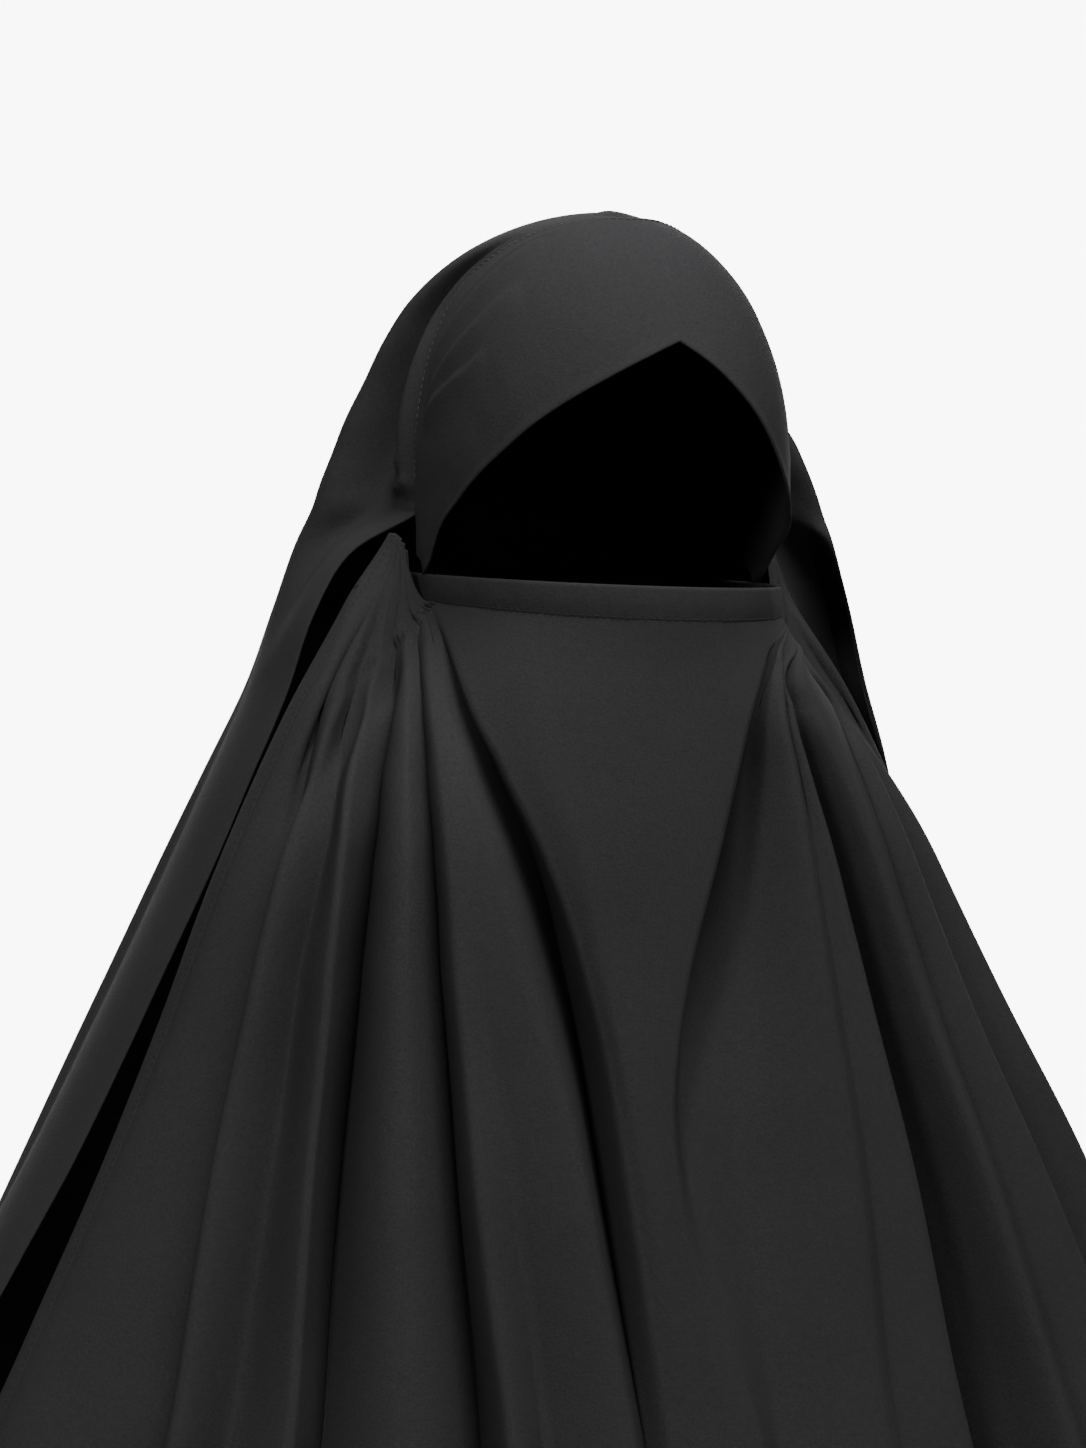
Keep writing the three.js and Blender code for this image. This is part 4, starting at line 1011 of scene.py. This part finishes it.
for name, column in (("right", HEM_ACROSS - 1), ("left", 1)):
    strip, grid, normal = hems[name]
    outward = normal[HEM_STITCH_FIRST_ROW:, column]
    path = grid[HEM_STITCH_FIRST_ROW:, column] + outward * CLOTH_WALL
    row = stitch_object("panel_hem_" + name + "_stitches", path, outward, *HEM_STITCH)
    dress(row, thread)
    hems[name] = (strip, row)

# The zigzag tack that holds the gather beside the wearer's right ear: across and down in the panel's shares,
# and out from the smooth panel in millimetres
TACK_POINTS = 60
TACK_ACROSS = (-0.984, -0.937)
TACK_DOWN = (0.0305, 0.02)
TACK_SWING = 0.0006
TACK_ZIGZAGS = 12
TACK_OUT = 2.1
tack_across = np.linspace(TACK_ACROSS[0], TACK_ACROSS[1], TACK_POINTS)
swing = TACK_SWING * np.sin(np.linspace(0, 2 * TACK_ZIGZAGS * math.pi, TACK_POINTS))
tack_down = np.linspace(TACK_DOWN[0], TACK_DOWN[1], TACK_POINTS) + swing
tack_path = panel_point(tack_across, tack_down, np.full_like(tack_down, TACK_OUT))
tack_out = unit(tack_path * np.array([1, 1, 0]))
tack = stitch_object("gather_tack_stitches", tack_path, tack_out, *TACK_STITCH)
dress(tack, thread)

for name in ("right", "left"):
    strip, row = hems[name]

# Floor, a round white disc
FLOOR_SIDES = 96
FLOOR_BACK = 0.05
FLOOR_WHITE = (0.85, 0.85, 0.85, 1)
FLOOR_ROUGHNESS = 0.9
floor_points = [(0, 0, FLOOR_LEVEL)]
for k in range(FLOOR_SIDES):
    t = 2 * math.pi * k / FLOOR_SIDES
    floor_points.append((FLOOR_RADIUS * math.cos(t), FLOOR_RADIUS * math.sin(t) + FLOOR_BACK, FLOOR_LEVEL))
floor_faces = [(0, k + 1, (k + 1) % FLOOR_SIDES + 1) for k in range(FLOOR_SIDES)]
floor_mesh = bpy.data.meshes.new("floor")
floor_mesh.from_pydata(floor_points, [], floor_faces)
floor = bpy.data.objects.new("floor", floor_mesh)
bpy.context.scene.collection.objects.link(floor)
paint = bpy.data.materials.new("floor_paint")
paint.use_nodes = True
paint_shader = paint.node_tree.nodes["Principled BSDF"]
paint_shader.inputs["Base Color"].default_value = FLOOR_WHITE
paint_shader.inputs["Roughness"].default_value = FLOOR_ROUGHNESS
floor_mesh.materials.append(paint)

# The room is dim, with a soft white ceiling and a bright white backdrop behind the veil.
# The backdrop fades in over BACKDROP_EDGE, the cosine of the angle from its middle.
BACKDROP_STRENGTH = 9
BACKDROP_EDGE = (0.84, 0.93)
CEILING_STRENGTH = 1.1
CEILING_RISE = (0, 0.9)
ROOM_STRENGTH = 0.17
world = bpy.data.worlds.new("studio")
world.use_nodes = True
room = world.node_tree.nodes
room_links = world.node_tree.links


def fade_in(value, limits, strengths):
    made = room.new("ShaderNodeMapRange")
    made.interpolation_type = "SMOOTHSTEP"
    made.inputs["From Min"].default_value = limits[0]
    made.inputs["From Max"].default_value = limits[1]
    made.inputs["To Min"].default_value = strengths[0]
    made.inputs["To Max"].default_value = strengths[1]
    room_links.new(value, made.inputs["Value"])
    return made.outputs["Result"]


looking = room.new("ShaderNodeTexCoord")
toward = room.new("ShaderNodeVectorMath")
toward.operation = "DOT_PRODUCT"
toward.inputs[1].default_value = (-math.sin(CAMERA_TURN), math.cos(CAMERA_TURN), 0)
room_links.new(looking.outputs["Generated"], toward.inputs[0])
height = room.new("ShaderNodeSeparateXYZ")
room_links.new(looking.outputs["Generated"], height.inputs["Vector"])
backdrop = fade_in(toward.outputs["Value"], BACKDROP_EDGE, (0, BACKDROP_STRENGTH))
ceiling = fade_in(height.outputs["Z"], CEILING_RISE, (ROOM_STRENGTH, CEILING_STRENGTH))
brighter = room.new("ShaderNodeMath")
brighter.operation = "MAXIMUM"
room_links.new(backdrop, brighter.inputs[0])
room_links.new(ceiling, brighter.inputs[1])
room_links.new(brighter.outputs["Value"], room["Background"].inputs["Strength"])
room["Background"].inputs["Color"].default_value = (1, 1, 1, 1)
bpy.context.scene.world = world

# Lamps: sizes and places in metres, power in watts
LAMPS = [
    {"name": "key", "place": (-1.8, -1.65, 1.45), "aim": (0, 0, -0.1), "size": 0.55, "power": 90,
     "colour": (1, 0.985, 0.96)},
    {"name": "fill", "place": (1.4, -2.1, 0.5), "aim": (0, 0, 0), "size": 0.9, "power": 13,
     "colour": (1, 1, 1)},
    {"name": "top", "place": (0.1, -0.5, 1.2), "aim": (0, 0, -0.05), "size": 0.9, "power": 74,
     "colour": (1, 1, 1)},
]
for lamp in LAMPS:
    data = bpy.data.lights.new(lamp["name"], "AREA")
    data.shape = "DISK"
    data.size = lamp["size"]
    data.energy = lamp["power"]
    data.color = lamp["colour"]
    made = bpy.data.objects.new(lamp["name"], data)
    bpy.context.scene.collection.objects.link(made)
    made.location = lamp["place"]
    made.rotation_mode = "QUATERNION"
    made.rotation_quaternion = (Vector(lamp["aim"]) - Vector(lamp["place"])).to_track_quat("-Z", "Y")
